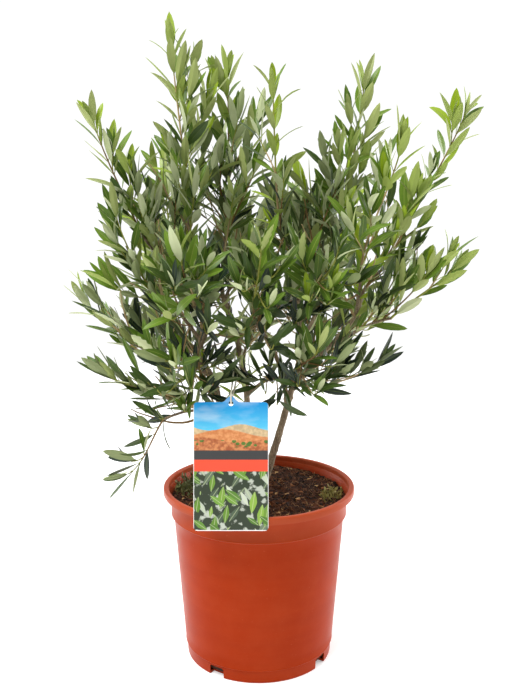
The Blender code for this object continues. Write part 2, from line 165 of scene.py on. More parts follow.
floor_mesh = bpy.data.meshes.new("floor")
floor_turns = [2 * math.pi * i / FLOOR_SIDES for i in range(FLOOR_SIDES)]
floor_rim = [(FLOOR_RADIUS * math.cos(turn), FLOOR_RADIUS * math.sin(turn), 0)
             for turn in floor_turns]
floor_mesh.from_pydata(floor_rim, [], [tuple(range(FLOOR_SIDES))])
floor = bpy.data.objects.new("floor", floor_mesh)
floor_paint = bpy.data.materials.new("floor_paint")
floor_paint.use_nodes = True
sockets = floor_paint.node_tree.nodes["Principled BSDF"].inputs
sockets["Base Color"].default_value = (0.9, 0.9, 0.9, 1)
sockets["Roughness"].default_value = 0.9
sockets["Emission Color"].default_value = (1, 1, 1, 1)
sockets["Emission Strength"].default_value = 0.35
floor_mesh.materials.append(floor_paint)
bpy.context.scene.collection.objects.link(floor)

# Pot: a 21 cm nursery pot, injection moulded in one piece from orange-brown plastic, with
# a folded rim, a collar, a conical wall and a skirt with four drain notches.  The plastic
# is satin, and a little paler and rougher where it has been handled.
MM = 0.001
RIM_RADIUS = 105 * MM
POT_HEIGHT = 194 * MM
BASE_RADIUS = 81 * MM
RIM_DEPTH = 7.5 * MM
RIM_WIDTH = 6 * MM
COLLAR_FOOT = 164 * MM
COLLAR_TOP_RADIUS = 97.5 * MM
COLLAR_FOOT_RADIUS = 96.4 * MM
WALL_TOP_RADIUS = 93.9 * MM
SKIRT_TOP = 15 * MM
WALL_FOOT_RADIUS = 82.7 * MM
SHELL = 1.6 * MM
POT_FLOOR = 2.4 * MM
POT_SIDES = 144
WALL_STEPS = 12
NOTCH_ANGLES = (-34, 56, 146, 236)
NOTCH_WIDTH = 18 * MM
NOTCH_HEIGHT = 11.5 * MM
NOTCH_DEPTH = 16 * MM           # how far its cutter reaches through the skirt
NOTCH_ROUND = 1.2 * MM
SHARP_EDGE = 35                 # degrees between two faces


def tone(red, green, blue):
    """A colour given as a paint chart gives it, 0 to 255, in the shaders' own scale."""
    parts = [value / 255 for value in (red, green, blue)]
    return tuple(p / 12.92 if p <= 0.04045 else ((p + 0.055) / 1.055) ** 2.4 for p in parts)


def finish(name, colour, roughness):
    """A Principled material, its shader's sockets and a Pattern to start from."""
    made = bpy.data.materials.new(name)
    made.use_nodes = True
    sockets = made.node_tree.nodes["Principled BSDF"].inputs
    sockets["Base Color"].default_value = (*colour, 1)
    sockets["Roughness"].default_value = roughness
    return made, sockets, Pattern(made.node_tree)


def own_place(start):
    """Where a point of the piece lies, in metres from the piece's own origin."""
    return start.node("TexCoord", output=3)


def raised(start, height, depth):
    """A surface raised by depth where height is 1."""
    return start.node("Bump", {}, {"Strength": 1.0, "Distance": depth, "Height": height})


def fitted(name, mesh, finishes, nodes=(), turn=None):
    """The mesh as a piece of the plant, in place of the CAD nodes it stands for."""
    made = bpy.data.objects.new(name, mesh)
    bpy.context.scene.collection.objects.link(made)
    for material in finishes:
        mesh.materials.append(material)
    if turn is not None:
        made.matrix_world = turn
    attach(made, "root")
    if nodes:
        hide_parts(*nodes)


def rounded(corner, before, after, radius, steps):
    """Points of a round on the corner of an outline between its two neighbours."""
    corner, before, after = Vector(corner), Vector(before), Vector(after)
    start = corner + (before - corner).normalized() * radius
    end = corner + (after - corner).normalized() * radius
    arc = []
    for i in range(steps + 1):
        t = i / steps
        arc.append(tuple(start.lerp(corner, t).lerp(corner.lerp(end, t), t)))
    return arc


def turned(profile, sides):
    """A closed body of revolution from (radius, height) points that start and end on its axis."""
    bm = bmesh.new()
    rings = []
    for radius, height in profile:
        turns = [2 * math.pi * i / sides for i in range(sides if radius else 1)]
        rings.append([bm.verts.new((radius * math.cos(turn), radius * math.sin(turn), height))
                      for turn in turns])
    for low, high in zip(rings, rings[1:]):
        for i in range(sides):
            corners = (low[i % len(low)], low[(i + 1) % len(low)],
                       high[(i + 1) % len(high)], high[i % len(high)])
            bm.faces.new(dict.fromkeys(corners))    # three corners where a ring is the axis
    return bm


def smoothed(mesh, sharp_from=SHARP_EDGE):
    """The mesh, shaded smooth but for its edges sharper than an angle in degrees."""
    mesh.shade_smooth()
    mesh.set_sharp_from_angle(angle=math.radians(sharp_from))
    return mesh


def settled(bm, name, sharp_from=SHARP_EDGE):
    """The body as a smooth mesh."""
    mesh = bpy.data.meshes.new(name)
    bm.to_mesh(mesh)
    bm.free()
    return smoothed(mesh, sharp_from)


def pot_profile():
    """The pot's half section, from its axis under the floor round to its axis inside."""
    rim_inner = RIM_RADIUS - RIM_WIDTH
    rim_low = POT_HEIGHT - RIM_DEPTH
    wall_top = COLLAR_FOOT - 2.5 * MM
    outer = [
        (0, 0),
        (BASE_RADIUS - 4 * MM, 0),
        *rounded((BASE_RADIUS, 0), (0, 0), (BASE_RADIUS, SKIRT_TOP), 1.5 * MM, 5),
        # The step from the skirt out to the wall, with its soft bead.
        (BASE_RADIUS + 0.3 * MM, SKIRT_TOP - 1.6 * MM),
        (BASE_RADIUS + 0.5 * MM, SKIRT_TOP - 0.9 * MM),
        (WALL_FOOT_RADIUS, SKIRT_TOP - 0.4 * MM),
        (WALL_FOOT_RADIUS + 0.35 * MM, SKIRT_TOP + 0.1 * MM),
        (WALL_FOOT_RADIUS + 0.3 * MM, SKIRT_TOP + 0.6 * MM),
        (WALL_FOOT_RADIUS + 0.05 * MM, SKIRT_TOP + 1.3 * MM),
        # The wall, straight up to the collar's bead.
        *[(WALL_FOOT_RADIUS + (WALL_TOP_RADIUS - WALL_FOOT_RADIUS) * i / WALL_STEPS,
           SKIRT_TOP + (wall_top - SKIRT_TOP) * i / WALL_STEPS) for i in range(1, WALL_STEPS)],
        (WALL_TOP_RADIUS, wall_top),
        (WALL_TOP_RADIUS + 0.5 * MM, COLLAR_FOOT - 1.7 * MM),
        (COLLAR_FOOT_RADIUS - 0.6 * MM, COLLAR_FOOT - 0.9 * MM),
        (COLLAR_FOOT_RADIUS + 0.2 * MM, COLLAR_FOOT - 0.4 * MM),
        (COLLAR_FOOT_RADIUS + 0.5 * MM, COLLAR_FOOT + 0.1 * MM),
        (COLLAR_FOOT_RADIUS + 0.45 * MM, COLLAR_FOOT + 0.6 * MM),
        (COLLAR_FOOT_RADIUS + 0.05 * MM, COLLAR_FOOT + 1.5 * MM),
        # The collar, then the rim's folded lip.
        (COLLAR_TOP_RADIUS, rim_low - 0.6 * MM),
        (COLLAR_TOP_RADIUS + 0.5 * MM, rim_low + 0.2 * MM),
        (RIM_RADIUS - 0.9 * MM, rim_low),
        (RIM_RADIUS - 0.3 * MM, rim_low + 0.2 * MM),
        (RIM_RADIUS, rim_low + 0.8 * MM),
        *rounded((RIM_RADIUS, POT_HEIGHT), (RIM_RADIUS, 0), (0, POT_HEIGHT), 2.2 * MM, 6),
        *rounded((rim_inner, POT_HEIGHT), (RIM_RADIUS, POT_HEIGHT), (rim_inner, 0), 1.8 * MM, 5),
    ]
    inner = [
        (rim_inner - 0.1 * MM, rim_low + 2 * MM),
        (COLLAR_TOP_RADIUS - SHELL, rim_low - 2 * MM),
        (COLLAR_FOOT_RADIUS - SHELL, COLLAR_FOOT + 1 * MM),
        (WALL_TOP_RADIUS - SHELL, COLLAR_FOOT - 3 * MM),
        (WALL_FOOT_RADIUS - SHELL, SKIRT_TOP),
        (BASE_RADIUS - SHELL, POT_FLOOR),
        (0, POT_FLOOR),
    ]
    return outer + inner


def notch_block():
    """Four blocks, one at each notch, as one cutter with its upper corners rounded."""
    bm = bmesh.new()
    for degrees in NOTCH_ANGLES:
        angle = math.radians(degrees - 90)
        turn = Matrix.Translation((BASE_RADIUS * math.cos(angle), BASE_RADIUS * math.sin(angle), 0))
        turn = turn @ Matrix.Rotation(angle, 4, "Z")
        size = Matrix.Diagonal((NOTCH_DEPTH, NOTCH_WIDTH, 2 * NOTCH_HEIGHT, 1))
        bmesh.ops.create_cube(bm, size=1, matrix=turn @ size)
    corners = [edge for edge in bm.edges if all(vert.co.z > 0 for vert in edge.verts)
               and abs(edge.calc_length() - NOTCH_DEPTH) < 0.1 * MM]
    bmesh.ops.bevel(bm, geom=corners, offset=NOTCH_ROUND, segments=4, affect="EDGES")
    return bpy.data.objects.new("notch_block", settled(bm, "notch_block"))


def made_up(shape):
    """What a shape comes to with its modifiers or its curve's thickness, as a mesh."""
    view = bpy.context.evaluated_depsgraph_get()
    return bpy.data.meshes.new_from_object(shape.evaluated_get(view))


def cut_away(bm, name, cutter):
    """The body with the cutter taken from it, as a finished mesh."""
    body = bpy.data.objects.new(name, settled(bm, name))
    for each in (body, cutter):
        bpy.context.scene.collection.objects.link(each)
    cut = body.modifiers.new("cut", "BOOLEAN")
    cut.operation, cut.solver, cut.object = "DIFFERENCE", "EXACT", cutter
    mesh = made_up(body)
    for each in (body, cutter):
        bpy.data.objects.remove(each)
    mesh.materials.clear()
    return smoothed(mesh)


pot_plastic, sockets, start = finish("pot_plastic", tone(154, 46, 7), 0.3)
place = own_place(start)
handled = start.noise(place, 38, 5, 0.62).rise(0.42, 0.7)
flow = start.noise(start.stretched(place, (9, 9, 60)), 1, 3).rise(0.3, 0.7)
specks = start.noise(place, 520, 2, 0.4).rise(0.7, 0.78)
base = flow.mix(tone(150, 44, 6), tone(158, 49, 9))
base = (handled * 0.1).mix(base, tone(186, 86, 50))
# Paler inside above the soil, as painted light on the inner wall, and paler on the rim and the
# collar, as painted highlights.
out = start.node("VectorMath", {"operation": "LENGTH"}, {0: start.stretched(place, (1, 1, 0))}, 1)
height = place.part(2)
inner_skin = COLLAR_FOOT_RADIUS + 0.2 * MM + 3 * MM * (height > POT_HEIGHT - RIM_DEPTH + 1 * MM)
painted_light_inside = (out < inner_skin) * (height > COLLAR_FOOT + 10 * MM)
base = (painted_light_inside * handled.rise(0, 1, 0.06, 0.3)).mix(base, tone(176, 112, 84))
# Painted highlights: the rim's outer fold and the collar's outside are made paler, as where they
# catch the light.
rim_painted_highlight = (height > POT_HEIGHT - RIM_DEPTH) * (out > RIM_RADIUS - RIM_WIDTH)
collar = (height > COLLAR_FOOT - 1 * MM) * (out > COLLAR_FOOT_RADIUS)
base = (rim_painted_highlight * 0.1 + collar * 0.12).mix(base, tone(204, 118, 84))
drive((specks * 0.2).mix(base, tone(198, 106, 74)), sockets["Base Color"])
drive(0.29 + handled * 0.1 + specks * 0.1, sockets["Roughness"])
drive(raised(start, start.noise(place, 900, 2) + flow * 0.6, 0.05 * MM), sockets["Normal"])
sockets["Specular IOR Level"].default_value = 0.06
pot_mesh = cut_away(turned(pot_profile(), POT_SIDES), "pot", notch_block())
fitted("pot_shell", pot_mesh, [pot_plastic], ["pot"])

# Soil: moist dark potting mix of peat, bark chips and coconut fibre, filled to a finger
# below the rim, with crumbs and chips lying on it and loose fibres over them.
SOIL_TOP = 184 * MM
SOIL_EDGE = 181 * MM
SOIL_FLAT_RADIUS = 40 * MM
SOIL_RADIUS = 95.2 * MM
SOIL_RINGS = 68
SOIL_SIDES = 230
SOIL_MOUNDS = (                 # x, y, width and rise of the places heaped higher
    (20 * MM, 68 * MM, 36 * MM, 5 * MM),
    (-75 * MM, -10 * MM, 30 * MM, 3.5 * MM),
    (75 * MM, 30 * MM, 30 * MM, 2 * MM))
CRUMBS = 1700
CHIPS = 300
CHIP_SHAPE = (1.5, 0.6, 0.3)
FIBRES = 760
FIBRE_POINTS = 8
CRUMB_FINISHES = (
    ("crumb", (36, 21, 13), 0.95), ("bark_crumb", (88, 50, 28), 0.9),
    ("bark_chip", (142, 86, 46), 0.85), ("pale_chip", (190, 144, 92), 0.8))
FIBRE_FINISHES = (
    ("dark_fibre", (58, 34, 20), 0.85), ("brown_fibre", (118, 72, 40), 0.8),
    ("pale_fibre", (168, 124, 78), 0.75))


def soil_height(x, y):
    """The filled level with its mounds, clods and crumbs."""
    out = math.hypot(x, y)
    slope = max(0.0, (out - SOIL_FLAT_RADIUS) / (SOIL_RADIUS - SOIL_FLAT_RADIUS))
    level = SOIL_TOP + (SOIL_EDGE - SOIL_TOP) * slope - 1.5 * MM
    for mound_x, mound_y, width, rise in SOIL_MOUNDS:
        level += rise * math.exp(-((x - mound_x) ** 2 + (y - mound_y) ** 2) / width ** 2)
    clods = noise.noise((x * 60, y * 60, 3)) * 2.6 * MM
    lumps = noise.noise((x * 140, y * 140, 11)) * 1.9 * MM
    crumbs = noise.turbulence((x * 300, y * 300, 7), 3, False) * 2.2 * MM
    return level + clods + lumps + crumbs


def soil_ring(out, shift, level=None):
    """A ring of points on the soil's surface, or at a level inside the pot."""
    ring = []
    for side in range(SOIL_SIDES):
        angle = 2 * math.pi * (side + shift) / SOIL_SIDES
        x, y = out * math.cos(angle), out * math.sin(angle)
        ring.append((x, y, soil_height(x, y) if level is None else level))
    return ring


def soil_body():
    """The fill as a closed body: its rough top, its side and its flat foot."""
    verts = [(0, 0, soil_height(0, 0))]
    for ring in range(1, SOIL_RINGS + 1):
        verts += soil_ring(SOIL_RADIUS * ring / SOIL_RINGS, 0.5 * (ring % 2))
    wall_gap = SHELL + 0.4 * MM
    below = [(COLLAR_FOOT_RADIUS - wall_gap - 0.3 * MM, COLLAR_FOOT + 3 * MM),
             (WALL_TOP_RADIUS - wall_gap, COLLAR_FOOT - 6 * MM),
             (WALL_FOOT_RADIUS - wall_gap, SKIRT_TOP + 2 * MM),
             (BASE_RADIUS - wall_gap, POT_FLOOR + 8 * MM),
             (BASE_RADIUS - wall_gap - 1.5 * MM, POT_FLOOR + 3 * MM),
             (BASE_RADIUS - wall_gap - 5 * MM, POT_FLOOR + 0.4 * MM)]
    for out, level in below:
        verts += soil_ring(out, 0.5 * (SOIL_RINGS % 2), level)
    verts.append((0, 0, POT_FLOOR + 0.4 * MM))
    faces = [(0, 1 + side, 1 + (side + 1) % SOIL_SIDES) for side in range(SOIL_SIDES)]
    for ring in range(SOIL_RINGS + len(below) - 1):
        low, high = 1 + ring * SOIL_SIDES, 1 + (ring + 1) * SOIL_SIDES
        for side in range(SOIL_SIDES):
            after = (side + 1) % SOIL_SIDES
            faces.append((low + side, high + side, high + after, low + after))
    last = 1 + (SOIL_RINGS + len(below) - 1) * SOIL_SIDES
    for side in range(SOIL_SIDES):
        faces.append((last + (side + 1) % SOIL_SIDES, last + side, len(verts) - 1))
    return verts, faces


def plain_mesh(name, verts, faces, slots=None, sharp_from=60):
    """Points and faces as a smooth mesh, with each face's finish where there are several."""
    mesh = bpy.data.meshes.new(name)
    mesh.from_pydata(verts, [], faces)
    if slots is not None:
        mesh.polygons.foreach_set("material_index", slots)
    return smoothed(mesh, sharp_from)


def cross_frames(path):
    """Two directions across a path at each of its points, carried along without a twist."""
    headings = [(b - a).normalized() for a, b in zip(path, path[1:])]
    headings.append(headings[-1])
    across = headings[0].orthogonal().normalized()
    frames = []
    for i, heading in enumerate(headings):
        if i:
            across = headings[i - 1].rotation_difference(heading) @ across
        across = (across - heading * across.dot(heading)).normalized()
        frames.append((across, heading.cross(across)))
    return frames


class Strands:
    """Round strands gathered into one closed mesh, with a finish for every ring."""

    def __init__(self):
        self.verts, self.faces, self.slots = [], [], []

    def add(self, path, radii, sides, slots, relief=None):
        """A strand along the path, closed at both ends, with any relief on its skin."""
        first = len(self.verts)
        for i, (place, (across, over)) in enumerate(zip(path, cross_frames(path))):
            for side in range(sides):
                angle = 2 * math.pi * side / sides
                out = across * math.cos(angle) + over * math.sin(angle)
                swell = relief(i, angle) if relief else 1
                self.verts.append(place + out * radii[i] * swell)
        for i in range(len(path) - 1):
            low = first + i * sides
            for side in range(sides):
                after = (side + 1) % sides
                self.faces.append((low + side, low + after, low + sides + after, low + sides + side))
                self.slots.append(slots[i])
        last = first + (len(path) - 1) * sides
        self.faces.append(tuple(reversed(range(first, first + sides))))
        self.faces.append(tuple(range(last, last + sides)))
        self.slots += [slots[0], slots[-1]]

    def mesh(self, name):
        return plain_mesh(name, self.verts, self.faces, self.slots)


def on_soil(draw, reach):
    """A random place on the soil's surface, within a share of its radius."""
    out = SOIL_RADIUS * reach * math.sqrt(draw.random())
    angle = draw.uniform(0, 2 * math.pi)
    x, y = out * math.cos(angle), out * math.sin(angle)
    return Vector((x, y, soil_height(x, y)))


def soil_crumbs(draw):
    """Crumbs and bark chips that lie on the soil, each a small closed body."""
    bm = bmesh.new()
    for i in range(CRUMBS + CHIPS):
        chip = i >= CRUMBS
        size = draw.uniform(0.8, 2.6) * MM if chip else draw.uniform(0.5, 1.8) * MM
        made = bmesh.ops.create_icosphere(bm, subdivisions=1, radius=size)["verts"]
        turn = Matrix.Rotation(draw.uniform(0, 6.3), 4, "Z")
        turn = turn @ Matrix.Rotation(draw.uniform(-0.5, 0.5), 4, "X")
        flat = CHIP_SHAPE if chip else (1, draw.uniform(0.6, 1), draw.uniform(0.5, 0.9))
        centre = on_soil(draw, 0.985) + Vector((0, 0, size * 0.25))
        for vert in made:
            rough = 1 + 0.3 * noise.noise(vert.co * 900 + Vector((i, 0, 0)))
            vert.co = centre + turn @ (Vector(a * b for a, b in zip(vert.co, flat)) * rough)
        kind = draw.choice((1, 2, 2, 3)) if chip else draw.choice((0, 0, 0, 0, 1))
        for face in {face for vert in made for face in vert.link_faces}:
            face.material_index = kind
    return settled(bm, "crumbs", 50)


def soil_fibres(draw):
    """Loose fibres that arch over the soil, each a thin strand that curls its own way."""
    strands = Strands()
    for _ in range(FIBRES):
        place = on_soil(draw, 0.96)
        heading = Vector((draw.uniform(-1, 1), draw.uniform(-1, 1), 0)).normalized()
        curl = draw.uniform(-0.35, 0.35)
        lift = draw.uniform(0.2, 2.2) * MM
        path = []
        for k in range(FIBRE_POINTS):
            arch = lift * math.sin(math.pi * k / (FIBRE_POINTS - 1))
            level = soil_height(place.x, place.y) + 0.1 * MM + arch
            path.append(Vector((place.x, place.y, level)))
            heading = Matrix.Rotation(curl + draw.uniform(-0.25, 0.25), 3, "Z") @ heading
            place = place + heading * draw.uniform(1.0, 2.4) * MM
            if math.hypot(place.x, place.y) > SOIL_RADIUS - MM:
                break
        if len(path) > 2:
            thick = draw.uniform(0.10, 0.30) * MM
            radii = [thick * (1 - 0.5 * k / len(path)) for k in range(len(path))]
            strands.add(path, radii, 4, [draw.choice((0, 1, 1, 2))] * len(path))
    return strands.mesh("fibres")


def plain_finishes(rows):
    """Materials of one even colour each, from rows of a name, a tone and a roughness."""
    return [finish(name, tone(*colour), roughness)[0] for name, colour, roughness in rows]


earth, sockets, start = finish("earth", tone(46, 30, 20), 0.92)
place = own_place(start)
coarse = start.noise(place, 130, 5, 0.6).rise(0.3, 0.72)
fine = start.noise(place, 700, 4, 0.7)
rusty = start.noise(place, 42, 3, 0.6).rise(0.5, 0.72)
base = coarse.mix(tone(24, 11, 6), tone(76, 40, 20))
base = (rusty * 0.6).mix(base, tone(110, 54, 24))
drive(fine.rise(0.56, 0.72).mix(base, tone(128, 84, 50)), sockets["Base Color"])
drive(raised(start, fine + coarse, 0.6 * MM), sockets["Normal"])
drive(0.78 + coarse * 0.2, sockets["Roughness"])
sockets["Specular IOR Level"].default_value = 0.2
fitted("soil_fill", plain_mesh("soil_fill", *soil_body()), [earth], ["soil"])
draw = random.Random(4)
fitted("soil_crumbs", soil_crumbs(draw), plain_finishes(CRUMB_FINISHES))
fitted("soil_fibres", soil_fibres(draw), plain_finishes(FIBRE_FINISHES))

# Stems and boughs: three stems from one root and the boughs that leave them, all of live
# wood.  The young bark is grey-brown, finely furrowed along the grain, with pale pores,
# knots where shoots were cut away, and a collar where each bough leaves its stem.
STEMS = {        # thickness at the foot and the tip, the foot's x and y, and each bend, in mm
    "stem_left": (9.0, 3.2, (
        (-25, -8), (-43, -8, 291), (-53, -6, 320), (-65, -4, 340), (-58, -2, 360),
        (-57, 0, 384), (-69, 3, 419), (-74, 8, 495))),
    "stem_middle": (8.0, 3.0, (
        (-9, 13), (-13, 12, 286), (-17, 12, 319), (-24, 14, 352), (-40, 22, 406),
        (-36, 30, 455), (-33, 40, 493))),
    "stem_right": (9.4, 3.4, (
        (3, 0), (14, 2, 222), (26, 5, 263), (34, 8, 292), (45, 12, 332), (44, 14, 385),
        (47, 22, 430), (49, 32, 455))),
}
BOUGHS = {       # the limb it leaves and at what share of its length, thicknesses, bends
    "front_middle": ("stem_right", 0.385, 6.0, 3.2, ((22, 3, 327), (10, -10, 356), (-4, -40, 380))),
    "inner_right": ("stem_right", 0.78, 4.2, 2.8, ((32, 2, 438), (22, -18, 470))),
    "right_leader": ("stem_right", 0.59, 4.8, 3.0, ((66, 14, 395), (85, 18, 448))),
    "right_outer": ("stem_right", 0.44, 5.8, 3.2,
                    ((64, 13, 332), (86, 14, 355), (107, 18, 382), (114, 20, 406), (139, 22, 435))),
    "right_reach": ("bough_right_outer", 0.36, 4.0, 2.8, ((120, 6, 371), (141, -4, 379))),
    "right_middle": ("bough_right_outer", 0.62, 3.8, 2.8, ((106, -12, 416), (104, -40, 440))),
    "right_low": ("stem_right", 0.45, 3.8, 2.4, ((52, -14, 308), (66, -33, 307))),
    "front_low_right": ("stem_middle", 0.35, 4.2, 2.6, ((6, 2, 309), (24, -20, 318), (41, -42, 331))),
    "front_right": ("stem_middle", 0.55, 4.6, 2.8, ((4, 0, 375), (30, -18, 397), (52, -38, 408))),
    "back_middle": ("stem_middle", 0.66, 4.2, 2.8, ((-34, 36, 402), (-22, 56, 414))),
    "back_low": ("stem_middle", 0.45, 4.2, 2.6, ((-15, 34, 338), (-8, 54, 346))),
    "back_right": ("stem_right", 0.64, 4.4, 2.8, ((50, 34, 384), (58, 54, 400))),
    "back_right_low": ("stem_right", 0.50, 4.2, 2.6, ((52, 32, 330), (68, 50, 342))),
    "left_low": ("stem_left", 0.30, 4.8, 2.8, ((-72, -15, 289), (-99, -22, 297))),
    "left_drooping": ("bough_left_low", 0.22, 3.4, 2.4, ((-78, -32, 284), (-100, -40, 278))),
    "left_outer": ("stem_left", 0.475, 4.6, 2.8, ((-92, -4, 337), (-118, -1, 343), (-147, 4, 359))),
    "left_upper": ("stem_left", 0.65, 4.6, 2.8, ((-92, -8, 430), (-121, -20, 469))),
    "left_second": ("stem_left", 0.555, 4.4, 2.8, ((-84, -11, 386), (-112, -24, 410))),
    "left_inner": ("stem_left", 0.70, 3.8, 2.6, ((-82, 18, 428), (-94, 34, 444))),
    "front_left": ("stem_left", 0.59, 4.4, 2.8, ((-60, -24, 385), (-66, -42, 398))),
    "front_low_left": ("stem_left", 0.42, 4.2, 2.6, ((-64, -28, 330), (-74, -46, 338))),
    "back_left": ("stem_left", 0.61, 4.4, 2.8, ((-66, 28, 392), (-80, 46, 402))),
    "back_left_low": ("stem_left", 0.44, 4.2, 2.6, ((-64, 26, 336), (-80, 44, 344))),
}
STEM_FLARE = 1.55
FLARE_HEIGHT = 14 * MM
ROOT_DEPTH = 5 * MM             # how far the stems' feet go on below the soil's surface
COLLAR_SWELL = 0.45
COLLAR_REACH = 3.2 * MM         # how far a bough's collar runs out along it
STEM_SIDES = 18
BOUGH_SIDES = 12
LIMB_STEP = 14 * MM
BARK_STEP = 1.6 * MM
LEAF_RING_WIDTH = 1.3 * MM
KNOT_SPACING = 22 * MM
KNOT_LENGTH = 1.9 * MM
KNOT_TURN = 0.55                # half of a knot's width round its limb, in radians
UP = Vector((0, 0, 1))


def smooth_path(knots, step):
    """A smooth curve through the knots, as points about one step apart."""
    before = knots[0] * 2 - knots[1]
    after = knots[-1] * 2 - knots[-2]
    full = [before, *knots, after]
    path = [knots[0]]
    for a, b, c, d in zip(full, full[1:], full[2:], full[3:]):
        count = max(1, round((c - b).length / step))
        for i in range(1, count + 1):
            t = i / count
            path.append(0.5 * (2 * b + (c - a) * t + (2 * a - 5 * b + 4 * c - d) * t ** 2
                               + (3 * b - a - 3 * c + d) * t ** 3))
    return path


def run_lengths(path):
    """How far along the path each of its points lies."""
    lengths = [0.0]
    for a, b in zip(path, path[1:]):
        lengths.append(lengths[-1] + (b - a).length)
    return lengths


def along(path, share):
    """The place and direction at a share of a path's length."""
    lengths = run_lengths(path)
    goal = share * lengths[-1]
    i = next(k for k in range(1, len(path)) if lengths[k] >= goal - 1e-9)
    part = (goal - lengths[i - 1]) / (lengths[i] - lengths[i - 1])
    return path[i - 1].lerp(path[i], part), (path[i] - path[i - 1]).normalized()


def grow_limbs():
    """Each limb's centre line and radii, root or parent first."""
    limbs = {}
    for name, (thick, thin, bends) in STEMS.items():
        foot = Vector((bends[0][0] * MM, bends[0][1] * MM, SOIL_TOP))
        knots = [foot + UP * 3 * MM] + [Vector(bend) * MM for bend in bends[1:]]
        path = [foot - UP * ROOT_DEPTH, foot] + smooth_path(knots, LIMB_STEP)
        path = smooth_path(path, BARK_STEP)
        lengths = run_lengths(path)
        radii = []
        for place, run in zip(path, lengths):
            flare = max(0, 1 - max(0, place.z - foot.z) / FLARE_HEIGHT) ** 2
            even = thick + (thin - thick) * run / lengths[-1]
            radii.append(even * MM / 2 * (1 + (STEM_FLARE - 1) * flare))
        limbs[name] = (path, radii)
    for name, (parent, share, thick, thin, bends) in BOUGHS.items():
        parent_path, parent_radii = limbs[parent]
        origin, _ = along(parent_path, share)
        knots = [origin] + [Vector(bend) * MM for bend in bends]
        path = smooth_path(smooth_path(knots, LIMB_STEP), BARK_STEP)
        lengths = run_lengths(path)
        parent_radius = parent_radii[round(share * (len(parent_radii) - 1))]
        radii = []
        for run in lengths:
            collar = math.exp(-max(0, run - parent_radius) ** 2 / COLLAR_REACH ** 2)
            even = thick + (thin - thick) * run / lengths[-1]
            radii.append(even * MM / 2 * (1 + COLLAR_SWELL * collar))
        limbs["bough_" + name] = (path, radii)
    return limbs


def bark_relief(draw, path):
    """How the bark swells round a limb: furrows, uneven growth, knots and old leaf rings."""
    lengths = run_lengths(path)
    seed = draw.uniform(0, 50)
    rings, run = [], draw.uniform(4, 10) * MM
    while run < lengths[-1]:
        rings.append((run, draw.uniform(0.05, 0.12)))
        run += draw.uniform(12, 24) * MM
    knots = []
    for _ in range(round(lengths[-1] / KNOT_SPACING)):
        at, side = draw.uniform(0, lengths[-1]), draw.uniform(0, 2 * math.pi)
        knots.append((at, side, draw.uniform(0.12, 0.42)))

    def swell(i, angle):
        """The growth at ring i and an angle round the limb, 1 being plain round wood."""
        run = lengths[i]
        furrow = noise.noise((math.cos(angle) * 2.4 + seed, math.sin(angle) * 2.4, run / (7 * MM)))
        lump = noise.noise((math.cos(angle) * 0.9, math.sin(angle) * 0.9 + seed, run / (16 * MM)))
        grown = 1 + 0.055 * furrow + 0.10 * lump
        for at, rise in rings:
            grown += rise * math.exp(-((run - at) / LEAF_RING_WIDTH) ** 2)
        for at, side, rise in knots:
            turn = math.atan2(math.sin(angle - side), math.cos(angle - side))
            grown += rise * math.exp(-((run - at) / KNOT_LENGTH) ** 2 - (turn / KNOT_TURN) ** 2)
        return grown
    return swell


def stem_of(limb):
    """The stem that a limb grows from, by way of any bough between."""
    while limb.startswith("bough_"):
        limb = BOUGHS[limb.removeprefix("bough_")][0]
    return limb


bark, sockets, start = finish("bark", tone(134, 116, 92), 0.82)
place = own_place(start)
grain = start.noise(start.stretched(place, (900, 900, 160)), 1, 4, 0.6)
patches = start.noise(place, 75, 4, 0.6).rise(0.35, 0.68)
pore_place = start.stretched(place, (520, 520, 380))
pores = 1 - start.node("TexVoronoi", {}, {"Vector": pore_place, "Scale": 1}).rise(0.16, 0.3)
base = patches.mix(tone(116, 98, 76), tone(164, 146, 118))
base = grain.rise(0.34, 0.6).mix(tone(102, 85, 66), base)
drive((pores * 0.45).mix(base, tone(186, 172, 144)), sockets["Base Color"])
drive(0.74 + grain * 0.2, sockets["Roughness"])
drive(raised(start, grain + pores * 0.5, 0.35 * MM), sockets["Normal"])
limbs = grow_limbs()
draw = random.Random(11)
for stem in STEMS:
    wood = Strands()
    members = [limb for limb in limbs if stem_of(limb) == stem]
    for limb in members:
        path, radii = limbs[limb]
        sides = STEM_SIDES if limb == stem else BOUGH_SIDES
        wood.add(path, radii, sides, [0] * len(path), bark_relief(draw, path))
    fitted("bark_" + stem, wood.mesh("bark_" + stem), [bark], members)

# Label: a printed plastic card with a rounded ear, leaning on the rim.  Its print is a
# plain landscape over two bands and a field of leaf shapes, inside a white border.
LABEL_WIDTH = 74.2 * MM
LABEL_HEIGHT = 127.4 * MM
LABEL_THICKNESS = 0.6 * MM
LABEL_CORNER = 4.5 * MM
LABEL_LEAN = math.radians(11)
LABEL_X = -27.2 * MM
LABEL_FOOT = 182.6 * MM
EAR_WIDTH = 18 * MM
EAR_HEIGHT = 6 * MM
EAR_STEPS = 24
HOLE_DROP = 1.5 * MM            # from the card's top edge down to the hole's centre
HOLE_RADIUS = 2.4 * MM
HOLE_SIDES = 28
CARD_EDGE = 0.08 * MM
WELD = 0.001 * MM               # points nearer than this are made one
RIM_TOUCH = POT_HEIGHT - 1.8 * MM       # how high the card touches the rim
